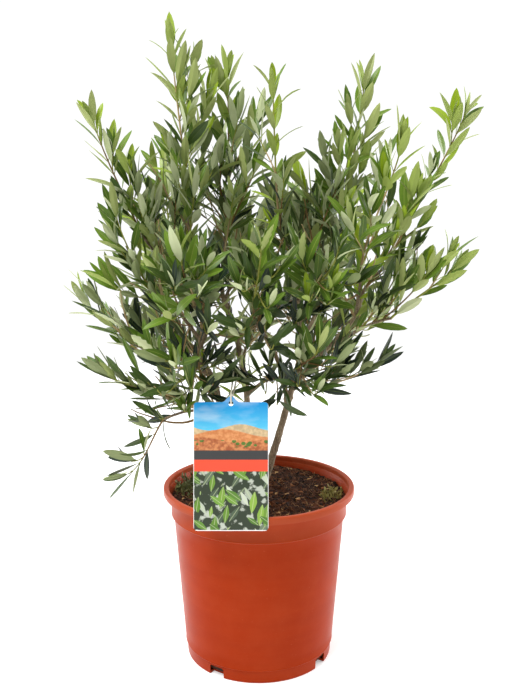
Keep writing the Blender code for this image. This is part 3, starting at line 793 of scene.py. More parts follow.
# How far before the pot's axis the card's foot stands, so that the card lies on the rim.
LABEL_OUT = RIM_RADIUS + 0.35 * MM + LABEL_THICKNESS / 2
LABEL_OUT += (RIM_TOUCH - LABEL_FOOT) * math.tan(LABEL_LEAN)
LABEL_REST = Vector((LABEL_X, -LABEL_OUT, LABEL_FOOT))
LABEL_TURN = Matrix.Translation(LABEL_REST) @ Matrix.Rotation(math.pi / 2 - LABEL_LEAN, 4, "X")
LANDSCAPE_FOOT = 0.625          # the feet of the print's fields, as shares of the card's height
DARK_BAND_FOOT = 0.553
RED_BAND_FOOT = 0.462
SHRUBS = (0.648, 0.705)         # where the landscape's shrubs begin and end
BORDER = 0.007
HILLS = (                       # crest, waves across, shift, rise, two tones
    (0.800, 7.5, 0.6, 0.024, (196, 170, 132), (222, 196, 152)),
    (0.755, 5.2, 2.1, 0.030, (206, 128, 76), (226, 158, 104)),
    (0.700, 6.4, 4.0, 0.022, (168, 92, 56), (214, 142, 92)))
LEAF_FIELDS = (                 # turn, leaves per metre, leaf's half width, two tones
    (0.6, (112, 36, 1), 0.46, (60, 78, 58), (112, 128, 104)),
    (-0.5, (104, 33, 1), 0.34, (132, 148, 120), (206, 214, 196)),
    (0.15, (104, 36, 1), 0.46, (78, 122, 36), (142, 178, 72)),
    (-0.95, (112, 40, 1), 0.42, (62, 104, 38), (120, 162, 66)))


def label_outline():
    """The card's outline, anticlockwise, with rounded corners and the ear on its top edge."""
    half, top, ear = LABEL_WIDTH / 2, LABEL_HEIGHT, EAR_WIDTH / 2
    corners = [(-half, 0), (half, 0), (half, top), (-half, top)]
    outline = []
    for i, corner in enumerate(corners):
        if i == 3:
            for k in range(EAR_STEPS + 1):
                x = ear * (1 - 2 * k / EAR_STEPS)
                outline.append((x, top + EAR_HEIGHT * 0.5 * (1 + math.cos(math.pi * x / ear))))
        outline += rounded(corner, corners[i - 1], corners[(i + 1) % 4], LABEL_CORNER, 8)
    return outline


def card_mesh():
    """The card as a flat outline with its hole, thickened and with a soft edge."""
    hole_turns = [-2 * math.pi * i / HOLE_SIDES for i in range(HOLE_SIDES)]
    centre = LABEL_HEIGHT - HOLE_DROP
    hole = [(HOLE_RADIUS * math.cos(turn), centre + HOLE_RADIUS * math.sin(turn))
            for turn in hole_turns]
    data = bpy.data.curves.new("card", "CURVE")
    data.dimensions, data.fill_mode = "2D", "BOTH"
    data.extrude, data.bevel_depth = LABEL_THICKNESS / 2 - CARD_EDGE, CARD_EDGE
    data.bevel_resolution, data.offset = 1, -CARD_EDGE
    for outline in (label_outline(), hole):
        spline = data.splines.new("POLY")
        spline.points.add(len(outline) - 1)
        for point, (x, y) in zip(spline.points, outline):
            point.co = (x, y, 0, 1)
        spline.use_cyclic_u = True
    shape = bpy.data.objects.new("card", data)
    bpy.context.scene.collection.objects.link(shape)
    mesh = made_up(shape)
    bpy.data.objects.remove(shape)
    mesh.materials.clear()
    bm = bmesh.new()
    bm.from_mesh(mesh)
    bmesh.ops.remove_doubles(bm, verts=bm.verts, dist=WELD)
    for face in bm.faces:
        face.material_index = 0 if face.normal.z > 0.9 else 1
    bm.to_mesh(mesh)
    bm.free()
    mesh.shade_flat()
    return mesh


def printed_landscape(start, place, across, upward):
    """Hazy sky over three rows of hills, with shrubs on the nearest."""
    clouds = start.noise(start.stretched(place, (22, 60, 1)), 1, 4).rise(0.5, 0.72)
    blue = upward.rise(0.76, 1.0).mix(tone(96, 204, 240), tone(0, 148, 220))
    picture = (clouds * 0.4).mix(blue, tone(232, 242, 248))
    ground = start.noise(place, 240, 4)
    for level, waves, shift, rise, low, high in HILLS:
        ridge = level + rise * start.maths("SINE", across * waves + shift)
        earthy = ground.rise(0.4, 0.62).mix(tone(*low), tone(*high))
        picture = (upward < ridge + ground * 0.008).mix(picture, earthy)
    clumps = start.stretched(place, (150, 190, 1))
    bushes = start.node("TexVoronoi", {}, {"Vector": clumps, "Scale": 1})
    shrub_line = (upward < SHRUBS[1]) * (upward > SHRUBS[0]) * (bushes < 0.36)
    return shrub_line.mix(picture, ground.mix(tone(46, 84, 36), tone(112, 146, 66)))


def printed_leaves(start, place):
    """Leaf shapes with a midrib, four layers of them, each layer turned its own way."""
    picture = start.noise(place, 110, 3).rise(0.54, 0.6).mix(tone(52, 62, 46), tone(186, 192, 178))
    for turn, size, width, low, high in LEAF_FIELDS:
        turned_place = start.node("VectorRotate", {"rotation_type": "Z_AXIS"},
                                  {"Vector": place, "Angle": turn})
        cells = start.stretched(turned_place, size)
        kind = {"distance": "MINKOWSKI"}
        inputs = {"Vector": cells, "Scale": 1, "Randomness": 0.9, "Exponent": 1.25}
        leaf = start.node("TexVoronoi", kind, inputs)
        chance = start.node("SeparateColor", {}, {0: start.node("TexVoronoi", kind, inputs, 1)})
        middle = start.node("TexVoronoi", kind, inputs, 2)
        off = start.node("VectorMath", {"operation": "SUBTRACT"}, {0: cells, 1: middle}).part(0)
        rib = start.maths("ABSOLUTE", off) < 0.035
        shape = (rib * 0.5).mix(chance.mix(tone(*low), tone(*high)), tone(206, 214, 168))
        picture = ((leaf < width) * (chance > 0.18)).mix(picture, shape)
    return picture


def printed_card():
    """The card's front: landscape, dark band, red band and leaves, from the top down."""
    print_ink, sockets, start = finish("printed_card", tone(235, 235, 230), 0.32)
    place = own_place(start)
    across = place.part(0) / LABEL_WIDTH
    upward = place.part(1) / LABEL_HEIGHT
    picture = printed_landscape(start, place, across, upward)
    picture = (upward < LANDSCAPE_FOOT).mix(picture, tone(66, 66, 66))
    picture = (upward < DARK_BAND_FOOT).mix(picture, tone(236, 84, 58))
    picture = (upward < RED_BAND_FOOT).mix(picture, printed_leaves(start, place))
    side = start.maths("ABSOLUTE", across)
    border = start.maths("MAXIMUM", side > 0.5 - BORDER, upward < BORDER)
    drive(border.mix(picture, tone(243, 243, 240)), sockets["Base Color"])
    return print_ink


card_finishes = [printed_card(), finish("label_back", tone(240, 240, 236), 0.4)[0]]
fitted("label_card", card_mesh(), card_finishes, ["label"], LABEL_TURN)

# Loop: a pale plastic cord that runs through the label's hole, over its ear and round the
# middle stem, and back.  It is one closed strand and stays where it is tied.
LOOP_RADIUS = 0.85 * MM
LOOP_STEM_SHARE = 0.507         # how far up the stem it is tied, as a share of the stem's length
LOOP_SAG = 1.2 * MM
LOOP_STEP = 1.2 * MM
LOOP_SIDES = 10


def loop_path():
    """The closed path through the label's hole, over its ear and round the stem."""
    path, radii = limbs["stem_middle"]
    tie, upward = along(path, LOOP_STEM_SHARE)
    ring = radii[round(LOOP_STEM_SHARE * (len(radii) - 1))] + LOOP_RADIUS + 0.6 * MM
    face = LABEL_THICKNESS / 2 + LOOP_RADIUS + 0.3 * MM

    def card(height, out):
        """A place at a height over the card's top edge and so far out from its middle."""
        return LABEL_TURN @ Vector((0, LABEL_HEIGHT + height, out))

    def strand(low, high):
        """Places between the card and the stem on a strand that sags a little."""
        return [low.lerp(high, share) - UP * LOOP_SAG * math.sin(math.pi * share)
                for share in (0.2, 0.4, 0.6, 0.8)]

    hole = card(-HOLE_DROP, 0)
    pull = (tie - hole).normalized()
    side = upward.cross(pull).normalized()
    back = side.cross(upward)
    front = [hole, card(0.9 * MM - HOLE_DROP, face), card(EAR_HEIGHT / 2, face),
             card(EAR_HEIGHT + 0.4 * MM, face * 0.8),
             card(EAR_HEIGHT + LOOP_RADIUS + 0.9 * MM, -face * 0.4)]
    turns = [math.pi * (-0.12 + 1.24 * i / 10) for i in range(11)]
    tied = [tie + side * ring * math.cos(turn) + back * ring * math.sin(turn) for turn in turns]
    behind = card(0.4 * MM - HOLE_DROP, -face * 1.1)
    knots = front + strand(front[-1], tied[0]) + tied + strand(tied[-1], behind) + [behind, hole]
    return smooth_path(knots, LOOP_STEP)


loop_plastic, _, _ = finish("loop_plastic", tone(226, 220, 202), 0.45)
loop = Strands()
path = loop_path()
loop.add(path, [LOOP_RADIUS] * len(path), LOOP_SIDES, [0] * len(path))
fitted("label_cord", loop.mesh("label_cord"), [loop_plastic], ["label_loop"])

# Foliage: leafy shoots that grow on from each limb's end and fill the space of its mass.
# Leaves stand in opposite pairs, each pair turned a quarter from the last.  They are
# leathery, dark above and pale grey-green below, and still bright green at the tips.
FOLIAGE = {      # each mass's width, then its shoots' tips, its main shoot's first, all in mm
    "top_leader": (74, (
        (-89, 12, 656), (-68, 24, 641), (-80, 18, 631), (-70, 10, 610), (-55, 20, 593),
        (-52, 30, 612), (-74, -6, 583), (-64, 10, 562), (-92, 5, 554), (-84, -14, 531),
        (-59, 26, 552), (-47, 10, 536), (-65, -20, 517), (-99, 2, 513))),
    "middle_leader": (62, (
        (-33, 50, 634), (-42, 46, 626), (-2, 30, 583), (-1, 10, 542), (-22, 24, 587), (-9, 34, 567),
        (-40, 54, 568), (-17, 40, 527), (-43, 30, 517), (-27, 8, 505), (-55, 36, 527))),
    "middle_top": (84, ((46, 92, 524), (20, 84, 540), (62, 104, 522), (3, 40, 536))),
    "front_middle": (108, ((4, -124, 496), (-22, -134, 450), (30, -112, 474))),
    "inner_right": (56, ((14, -42, 611), (1, -24, 565), (25, -36, 525))),
    "right_leader": (74, (
        (110, 26, 619), (94, 8, 590), (112, 20, 568), (81, -4, 557), (95, 10, 556), (68, 0, 545),
        (48, 20, 515), (111, 26, 540), (75, 10, 517), (100, 18, 511), (62, -4, 497),
        (86, -10, 491))),
    "right_outer": (50, (
        (221, 44, 593), (206, 38, 587), (182, 22, 531), (175, 14, 481), (157, 4, 503),
        (167, 10, 507), (149, -6, 475), (135, -2, 462), (163, 6, 451))),
    "right_reach": (64, (
        (205, -6, 433), (197, -12, 444), (176, -16, 430), (148, -6, 433), (149, -16, 413),
        (129, -26, 410), (164, 2, 428), (117, -30, 396))),
    "right_middle": (70, (
        (134, -84, 556), (122, -60, 540), (119, -84, 523), (106, -80, 499), (126, -66, 499),
        (88, -92, 483))),
    "right_low": (54, ((124, -50, 343), (84, -44, 334), (106, -42, 332))),
    "front_low_right": (86, (
        (64, -104, 400), (92, -92, 376), (-34, -36, 340), (-3, -40, 340), (34, -30, 314),
        (-13, -30, 316), (-22, -36, 330), (9, -36, 352), (50, -36, 324), (12, -36, 328),
        (24, -34, 338), (20, -64, 320), (4, -60, 328))),
    "front_right": (104, ((80, -116, 494), (108, -102, 452))),
    "back_middle": (116, ((-18, 156, 520), (14, 166, 474), (-48, 148, 494))),
    "back_low": (98, ((-4, 170, 382), (30, 160, 396))),
    "back_right": (112, ((116, 140, 520), (142, 124, 484), (84, 166, 464))),
    "back_right_low": (98, ((164, 128, 396), (130, 152, 404))),
    "left_low": (52, (
        (-152, -30, 320), (-116, -32, 316), (-160, -34, 324), (-136, -20, 331), (-140, -30, 326),
        (-130, -24, 310), (-92, -22, 312), (-114, -28, 298))),
    "left_drooping": (46, (
        (-134, -62, 226), (-77, -46, 290), (-115, -46, 271), (-119, -52, 247), (-103, -44, 280),
        (-131, -58, 238))),
    "left_outer": (62, (
        (-188, 10, 396), (-171, -8, 403), (-164, 8, 373), (-140, -12, 389), (-142, 0, 348),
        (-126, -6, 373))),
    "left_upper": (56, (
        (-161, -46, 581), (-143, -40, 552), (-129, -36, 532), (-132, -40, 496), (-122, -34, 521),
        (-109, -26, 507), (-113, -38, 488))),
    "left_second": (62, (
        (-140, -54, 489), (-143, -52, 470), (-150, -38, 420), (-134, -36, 458), (-121, -30, 453),
        (-126, -40, 434))),
    "left_inner": (80, ((-108, 84, 575), (-120, 76, 552))),
    "front_left": (108, ((-74, -116, 492), (-104, -104, 462), (-48, -124, 440))),
    "front_low_left": (90, (
        (-114, -94, 392), (-80, -112, 380), (-115, -70, 377), (-93, -64, 341), (-47, -50, 358),
        (-71, -42, 304), (-47, -36, 316), (-38, -38, 346), (-66, -40, 342), (-54, -42, 326),
        (-38, -64, 320), (-26, -60, 332), (-52, -66, 318), (-95, -50, 301), (-58, -36, 332),
        (-39, -20, 337))),
    "back_left": (112, ((-134, 140, 498), (-104, 162, 466), (-154, 114, 474))),
    "back_left_low": (98, ((-164, 128, 378), (-130, 150, 388))),
}
# The masses that grow on from a stem's own tip, where all others grow on from a bough's.
LEADERS = {"top_leader": "stem_left", "middle_leader": "stem_middle", "middle_top": "stem_right"}
SLENDER = 76                    # a mass narrower than this, in mm, has only its listed shoots
SHOOT_SPACING = 31.5 * MM       # between the tips of the shoots that fill a wider mass
SHOOT_LENGTH = 75 * MM          # what a shoot reaches, where its mass is large enough
SHOOT_STEP = 5 * MM
TWIG_END = 0.6 * MM             # half a shoot's thickness at its tip
GREEN_WOOD = 20 * MM            # how far back from its tip a shoot's bark is green
YOUNG_WOOD = 85 * MM            # and how far it is last year's
TIP_REACH = 32 * MM             # how far the last leaves may reach past a shoot's end
LEAF_ROOM = 9 * MM              # how far shoots end inside the skin of their mass
LEAF_LENGTH = 41 * MM
LEAF_RATIO = 0.25               # a young leaf's width as a share of its length
LEAF_STATIONS = (0.0, 0.07, 0.17, 0.34, 0.54, 0.74, 0.9)     # shares of a leaf's length
LEAF_ACROSS = (-1, -0.5, -0.065, 0.065, 0.5, 1)     # shares of its half width, from its midrib
LEAF_ROUND = 10                 # points round a leaf: six across its top, four beneath
LEAF_BODY = 0.16 * MM
MIDRIB = 0.1                    # its half width, as a share of the leaf's
STALK_SHARE = 0.07
LEAF_GAPS = (0.5, 4.5, 9.5, 13.0) + (15.5,) * 34    # mm between pairs, from a shoot's tip back
HALF_GROWN = (0.62, 0.92)       # how long the last pairs are, as a share of a grown leaf
FRESH_FOR = 26 * MM             # how far back from the tip leaves are still paler
GROWN_FROM = 30 * MM            # how far back leaves stand as old ones do
SHED_FROM = 45 * MM             # how far back some old leaves have fallen
SHED_SHARE = 0.12
SPRAWL_FROM = 70 * MM           # how far back leaves stand out wider
OPENINGS = (                    # gaps right through the crown: x, z and half width, in mm
    (125, 362, 12), (-141, 469, 11), (-123, 323, 11), (-21, 397, 10), (10, 298, 9), (162, 402, 9),
    (-160, 406, 8), (-149, 331, 9), (168, 482, 8), (144, 513, 6), (17, 369, 7), (38, 558, 7),
    (2, 570, 6), (31, 360, 5), (-3, 341, 5), (178, 371, 10), (146, 376, 7), (104, 306, 8))
CROWN_CENTRE = Vector((0.005, 0.01, 0.41))
CROWN_REACH = (0.18, 0.24, 0.3)
MOST_LIGHT = 0.7
OUTSIDE_LIGHT = 0.4             # what a spray at the crown's outside has over one in its heart
DIM_BELOW = 300 * MM            # the height from which sprays gain light
LIGHT_RISE = 1.65               # how much they gain for each metre
BARE_BELOW = 460 * MM           # shoots that end below this height are bare at their start
BARE_RISE = 3.2                 # how much more is bare for each metre lower
MOST_BARE = 0.32
# Tones from darkest to lightest, dealt out by each spray's light: the darker are painted shade in the
# crown's heart and low down, the lighter painted light at its top and outside, and the lightest also
# mark young tips.
LEAF_TOPS = {
    "leaf_shade": (33, 49, 34), "leaf_deep": (58, 80, 28), "leaf_olive": (80, 108, 30),
    "leaf_fresh": (100, 130, 36), "leaf_young": (138, 162, 28)}
LEAF_UNDERS = {
    "under_shade": (78, 91, 50), "under_grey": (141, 153, 105), "under_pale": (191, 200, 154),
    "under_fresh": (162, 174, 104), "under_young": (152, 170, 82)}
LEAF_RIBS = {
    "rib_dark": (80, 96, 42), "rib_pale": (134, 150, 66)}
FIRST_UNDER = len(LEAF_TOPS)
FIRST_RIB = FIRST_UNDER + len(LEAF_UNDERS)
TWIG_TONES = {
    "twig_wood": (156, 134, 98), "twig_brown": (132, 106, 70), "twig_green": (146, 148, 72),
    "twig_tan": (178, 156, 116)}


def half_width(share):
    """A leaf's outline: its half width at a share of its length, 1 at the widest."""
    blade = (share - STALK_SHARE) / (1 - STALK_SHARE)
    return 0.0 if blade <= 0 else (blade ** 0.74 * (1 - blade) ** 0.8) / 0.343


def leaf_faces():
    """One leaf's faces and their kinds: 0 blade, 1 midrib, 2 underside, 3 stalk."""
    top = [(j, j + 1) for j in range(5)]
    under = [(5, 9), (9, 8), (8, 7), (7, 6), (6, 0)]
    tip = LEAF_ROUND * len(LEAF_STATIONS)
    faces, kinds = [], []
    for i in range(len(LEAF_STATIONS)):
        low, high = LEAF_ROUND * i, LEAF_ROUND * (i + 1)
        for k, (a, b) in enumerate(top + under):
            kind = 3 if i == 0 else 2 if k > 4 else 1 if k == 2 else 0
            if high == tip:
                faces.append((low + a, low + b, tip))
            else:
                faces.append((low + a, low + b, high + b, high + a))
            kinds.append(kind)
    faces.append((0, 6, 7, 8, 9, 5, 4, 3, 2, 1))
    kinds.append(3)
    return faces, kinds


def gathered(leaves, key):
    """One measure of all the leaves, as an array."""
    return np.array([leaf[key] for leaf in leaves])


def leaves_mesh(name, leaves):
    """All the leaves of one mass as one mesh of closed blades."""
    base, heading, face = (gathered(leaves, key) for key in ("base", "heading", "face"))
    length, width, bend, fold, twist = (
        gathered(leaves, key)[:, None] for key in ("length", "width", "bend", "fold", "twist"))
    side = np.cross(heading, face)

    # The middle line of each leaf, bent to an arc, with the blade's half width along it.
    share = np.array((*LEAF_STATIONS, 1.0))[None, :]
    turn = bend * share
    forward = length * np.sin(turn) / bend
    lift = -length * (1 - np.cos(turn)) / bend
    spread = np.array([half_width(s) for s in share[0]])[None, :] * width / 2
    spread = np.maximum(spread, np.where(share < 1, 0.45 * MM, 0))

    # The blade across that line: folded up a little, then the same again as its underside.
    across = np.array(LEAF_ACROSS)
    x = spread[:, :, None] * across
    rise = fold[:, :, None] * np.abs(x) - 0.5 * fold[:, :, None] * np.abs(x) * across ** 4
    rise = rise - 0.12 * MM * (np.abs(across) < MIDRIB)
    body = LEAF_BODY + 0.3 * MM * (np.abs(across[1:5]) < MIDRIB) * (1 - share[:, :, None])
    x = np.concatenate([x, x[:, :, 1:5]], 2)
    rise = np.concatenate([rise, rise[:, :, 1:5] - body], 2)
    lean = (twist * share)[:, :, None]
    x, rise = x * np.cos(lean) - rise * np.sin(lean), x * np.sin(lean) + rise * np.cos(lean)

    out = face[:, None, :] * np.cos(turn)[..., None] + heading[:, None, :] * np.sin(turn)[..., None]
    middle = base[:, None, :] + heading[:, None, :] * forward[..., None]
    middle = middle + face[:, None, :] * lift[..., None]
    points = middle[:, :, None, :] + side[:, None, None, :] * x[..., None]
    points = points + out[:, :, None, :] * rise[..., None]
    stations = len(LEAF_STATIONS)
    blade = points[:, :stations].reshape(len(leaves), stations * LEAF_ROUND, 3)
    verts = np.concatenate([blade, middle[:, -1:, :]], 1)
    count = verts.shape[1]
    one, kinds = leaf_faces()
    faces, slots = [], []
    for i, leaf in enumerate(leaves):
        faces += [tuple(v + i * count for v in face) for face in one]
        slots += [leaf["slots"][kind] for kind in kinds]
    return plain_mesh(name, verts.reshape(-1, 3).tolist(), faces, slots, 55)


def crown_depth(place):
    """0 in the heart of the crown, 1 at its outside."""
    off = place - CROWN_CENTRE
    return min(1.0, math.sqrt(sum((a / b) ** 2 for a, b in zip(off, CROWN_REACH))))


def light_at(place):
    """How much sun a spray gets: most at the crown's top and outside.  Its leaves' tones follow it,
    as painted light and painted shade.
    """
    outside = OUTSIDE_LIGHT * crown_depth(place) ** 2
    return min(MOST_LIGHT, outside + LIGHT_RISE * (place.z - DIM_BELOW))


def leaf_slots(draw, bright):
    """Which finishes a leaf takes, by how much light its spray gets: darker tones as painted shade,
    lighter ones as painted light.
    """
    top = min(4, max(0, int(bright * 5 + draw.uniform(-0.8, 0.6))))
    under = min(4, max(0, int(bright * 5 + draw.uniform(-0.7, 0.7))))
    rib = FIRST_RIB + (1 if top > 1 else 0)
    return (top, rib, FIRST_UNDER + under, rib)


def crosses_label(base, tip):
    """Whether a leaf or twig would pass through the label's card."""
    a, b = (LABEL_TURN.inverted() @ place for place in (base, tip))
    if a.z * b.z > 0 and min(abs(a.z), abs(b.z)) > 2 * MM:
        return False
    reach, low, high = LABEL_WIDTH / 2 + 4 * MM, -4 * MM, LABEL_HEIGHT + 9 * MM
    return any(abs(place.x) < reach and low < place.y < high for place in (a, b))


def in_opening(place):
    """Whether a place lies in one of the gaps that go right through the crown from the front."""
    eye = Vector(EYE)
    off = place - eye
    for x, z, half in OPENINGS:
        sight = (Vector((x, 0, z)) * MM - eye).normalized()
        if (off - sight * off.dot(sight)).length < half * MM:
            return True
    return False


def grow_leaf(draw, base, stem, away, angle, length, ratio, bright, age):
    """One leaf on a shoot: it leaves along away and turns a face to the light as it ages."""
    level = 1 - abs(stem.z)
    heading = stem * math.cos(angle) + away * math.sin(angle) + UP * (0.12 + 0.55 * level)
    heading = heading.normalized()
    outside = (base - CROWN_CENTRE).normalized() * draw.choice((1, 1, -1))
    turned_out = outside * draw.uniform(0.3, 1.4) + Vector(draw.uniform(-0.3, 0.3) for _ in range(3))
    face = stem * math.sin(angle) - away * math.cos(angle)
    face += (turned_out + UP * draw.uniform(0, 0.5)) * min(1, 0.25 + 1.5 * age)
    face = (face - heading * face.dot(heading)).normalized()
    bend = draw.gauss(0.22, 0.3)
    return {"base": base, "heading": heading, "face": face, "length": length, "width": length * ratio,
            "bend": bend if abs(bend) > 0.03 else 0.03, "fold": draw.uniform(0.08, 0.42),
            "twist": draw.uniform(-0.6, 0.6), "slots": leaf_slots(draw, bright)}


def dress_shoot(draw, path, radii, bare, bright, leaves, slim=1.0):
    """Opposite pairs of leaves from a shoot's end back to where its wood is bare."""
    total = run_lengths(path)[-1]
    vigour = draw.uniform(0.88, 1.14)
    spring = draw.choice((0.3, 0.05, 0, 0, 0, 0))
    back, quarter = 0.0, draw.uniform(0, math.pi)
    for k, gap in enumerate(LEAF_GAPS):
        back += gap * vigour * draw.uniform(0.85, 1.15) * MM
        if back > total * (1 - bare):
            break
        base, stem = along(path, 1 - back / total)
        radius = radii[min(len(radii) - 1, round((1 - back / total) * (len(radii) - 1)))]
        across = stem.orthogonal().normalized()
        quarter += math.pi / 2 + draw.uniform(-0.25, 0.25)
        age = min(1.0, back / GROWN_FROM)
        grown = HALF_GROWN[k] if k < len(HALF_GROWN) else 1
        for half_turn in (0, math.pi):
            if back > SHED_FROM and draw.random() < SHED_SHARE:
                continue
            away = Matrix.Rotation(quarter + half_turn, 3, stem) @ across
            sprawl = 12 if back > SPRAWL_FROM else 0
            angle = math.radians(10 + 27 * age + draw.uniform(-7, 10) + sprawl)
            length = LEAF_LENGTH * grown * vigour * draw.uniform(0.76, 1.1)
            length *= 0.95 + 0.1 * bright
            ratio = (LEAF_RATIO - 0.03 * age) * slim * (0.82 + 0.3 * bright)
            ratio *= draw.uniform(0.82, 1.12)
            light = bright + (0.04 + spring) * (1 - min(1, back / FRESH_FOR))
            bud = base + away * radius * 0.7
            leaf = grow_leaf(draw, bud, stem, away, angle, length, ratio, light, age)
            middle, tip = (base + leaf["heading"] * length * share for share in (0.5, 0.9))
            if not (crosses_label(base, tip) or in_opening(middle) or in_opening(tip)):
                leaves.append(leaf)


def shoot_path(start_at, heading, goal, short=0.0):
    """A shoot's curve from its start along heading, rising to end short of its goal."""
    reach = (goal - start_at).length
    straight = (goal - start_at).normalized()
    to_light = 0.22 + 0.8 * abs(straight.y)
    rise = (Vector((straight.x, straight.y * 0.4, straight.z)) + UP * to_light).normalized()
    end = goal - rise * min(short, reach * 0.4)
    pull = (end - start_at).length * 0.3
    knots = (start_at, start_at + heading * pull, end - rise * pull, end)
    count = max(4, round((end - start_at).length / SHOOT_STEP))
    path = []
    for i in range(count + 1):
        t = i / count
        weights = ((1 - t) ** 3, 3 * t * (1 - t) ** 2, 3 * t * t * (1 - t), t ** 3)
        path.append(sum((knot * weight for knot, weight in zip(knots, weights)), Vector()))
    return path


def twig_slots(path, young):
    """Green at the end, then the colour of last year's wood, then grey-brown."""
    lengths = run_lengths(path)
    left = [lengths[-1] - run for run in lengths]
    return [2 if back < GREEN_WOOD else young if back < YOUNG_WOOD else 0 for back in left]


def shoot_goals(draw, name, foot, tips, crest_path, width):
    """Where the mass's shoots end: its own tips, then places spread through it, far ones first."""
    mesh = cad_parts["foliage_" + name].data
    skin = [face.center.copy() for face in mesh.polygons]
    places = [vert.co.copy() for vert in mesh.vertices] + skin
    places += [foot.lerp(place, draw.uniform(0.4, 0.85)) for place in skin]
    crest = (tips[0] - foot).length
    room = []
    for place in places:
        if (place - foot).length > 0.3 * crest and place.z > foot.z + 6 * MM:
            # Moved towards the mass's main shoot, to leave room for leaves.
            nearest = min(crest_path, key=lambda point: (point - place).length)
            off = place - nearest
            if off.length - LEAF_ROOM > 8 * MM:
                room.append(nearest + off.normalized() * (off.length - LEAF_ROOM))
    goals = []
    gaps = [min((place - tip).length for tip in tips) for place in room]
    while width > SLENDER and gaps and max(gaps) > SHOOT_SPACING:
        far = room[gaps.index(max(gaps))]
        goals.append(far)
        gaps = [min(gap, (place - far).length) for gap, place in zip(gaps, room)]
    return tips + sorted(goals, key=lambda place: -(place - foot).length)


def best_start(goal, wood):
    """The point of the grown wood from which a shoot to this goal branches best."""
    def cost(bud):
        place, stem, _ = bud
        straight = goal - place
        angle = stem.angle(straight, 0)
        too_low = max(0, place.z + 15 * MM - goal.z)
        too_short = max(0, SHOOT_LENGTH - straight.length)
        return straight.length * (1 + 1.5 * abs(angle - 0.5)) + 1.5 * too_low + 1.4 * too_short
    return min(wood, key=cost)


def grow_mass(name, width, tips, seed):
    """A mass's twigs and leaves."""
    draw = random.Random(seed)
    limb_path, limb_radii = limbs[LEADERS.get(name, "bough_" + name)]
    foot = limb_path[-1]
    heading = (limb_path[-1] - limb_path[-4]).normalized()
    tips = [Vector(tip) * MM for tip in tips]
    slender = width < SLENDER
    twigs, leaves, wood = Strands(), [], []
    for k in range(int(len(limb_path) * 0.5), len(limb_path) - 1, 4):
        wood.append((limb_path[k], (limb_path[k + 1] - limb_path[k]).normalized(), limb_radii[k]))
    crest_path = shoot_path(foot - heading * MM, heading, tips[0])
    for number, goal in enumerate(shoot_goals(draw, name, foot, tips, crest_path, width)):
        if number == 0:
            origin, stem, thick = foot - heading * MM, heading, limb_radii[-1] * 0.98
        else:
            origin, stem, thick = best_start(goal, wood)
            thick = min(thick * 0.8, (0.65 + 5 * (goal - origin).length) * MM)
        away = (goal - origin).normalized()
        pull_up = -0.6 if away.z < -0.3 else 0.6 if number == 0 else 0.35
        leave = (stem * 0.7 + away * 0.5 + UP * pull_up).normalized()
        path = shoot_path(origin, leave, goal, 0 if slender else TIP_REACH)
        run = len(path) - 1
        radii = [thick + (TWIG_END - thick) * (i / run) ** 0.8 for i in range(len(path))]
        twigs.add(path, radii, 6, twig_slots(path, draw.choice((1, 2, 3))))
        light = light_at(goal) + draw.uniform(-0.22, 0.22)
        if number == 0:
            old = limb_path[int(len(limb_path) * (0.3 if slender else 0.6))::3]
            old_radii = [radii[0]] * len(old)
            dress_shoot(draw, old + path[2:], old_radii + radii[2:], 0, light, leaves)
        else:
            bare = 0 if slender else min(MOST_BARE, max(0, BARE_RISE * (BARE_BELOW - goal.z)))
            dress_shoot(draw, path, radii, 0.1 + bare, light, leaves, 1 - 0.4 * bare)
        for k in range(2, len(path) - 5, 2):
            wood.append((path[k], (path[k + 1] - path[k]).normalized(), radii[k]))
    return twigs, leaves


def foliage_finishes(tones, roughness, gloss):
    """Materials for leaves or twigs, one for each tone."""
    rows = [(name, colour, roughness) for name, colour in tones.items()]
    made = plain_finishes(rows)
    for material in made:
        shader = material.node_tree.nodes["Principled BSDF"]
        shader.inputs["Specular IOR Level"].default_value = gloss
    return made


leaf_finishes = foliage_finishes(LEAF_TOPS, 0.4, 0.35)
leaf_finishes += foliage_finishes(LEAF_UNDERS, 0.62, 0.35)
leaf_finishes += foliage_finishes(LEAF_RIBS, 0.5, 0.35)
twig_finishes = foliage_finishes(TWIG_TONES, 0.75, 0.1)
for seed, (name, (width, tips)) in enumerate(FOLIAGE.items()):
    twigs, leaves = grow_mass(name, width, tips, seed)
    nodes = ["foliage_" + name]
    fitted("twigs_" + name, twigs.mesh("twigs_" + name), twig_finishes, nodes)
    fitted("leaves_" + name, leaves_mesh("leaves_" + name, leaves), leaf_finishes, nodes)

# Inner twigs: the thin old twigs that stems and boughs still carry inside the crown, of
# grey-brown and tan wood.  Some are bare, and some keep narrow leaves at their ends, painted dark as
# shade.
INNER_SPACING = (5 * MM, 14 * MM)
INNER_LENGTHS = (40 * MM, 105 * MM)
INNER_RADII = (0.8, 1.0, 1.3, 1.7)      # in mm at their start
INNER_END = 0.5 * MM            # and at their end
INNER_STRAY = 9 * MM            # how far past the masses' skins a twig may end
CROWN_FOOT = 270 * MM           # how low twigs go at the left, from which it rises to the right
START_SLOPE = 0.6               # its slope for the twigs' starts
END_SLOPE = 0.3                 # and for their ends
LOW_CROWN = 385 * MM            # twigs that start below this stand closer and in more shade
LOW_SPACING = 0.34


def below_crown(place, slope):
    """Whether a place is under the crown's foot, which rises towards the right."""
    return place.z < CROWN_FOOT + slope * max(0, place.x)


def inner_twig(draw, origin, stem):
    """A twig's path from its origin on a limb, leaning out and swaying as it goes."""
    turn = Matrix.Rotation(draw.uniform(0, 2 * math.pi), 3, stem)
    lean = math.radians(draw.uniform(38, 78))
    heading = (stem * math.cos(lean) + turn @ stem.orthogonal().normalized() * math.sin(lean))
    heading = (heading + UP * draw.uniform(-0.15, 0.35)).normalized()
    twig = [origin]
    for _ in range(round(draw.uniform(*INNER_LENGTHS) / SHOOT_STEP)):
        sway = Vector(draw.uniform(-0.13, 0.13) for _ in range(3))
        heading = (heading + sway + UP * 0.045).normalized()
        twig.append(twig[-1] + heading * SHOOT_STEP)
    return twig


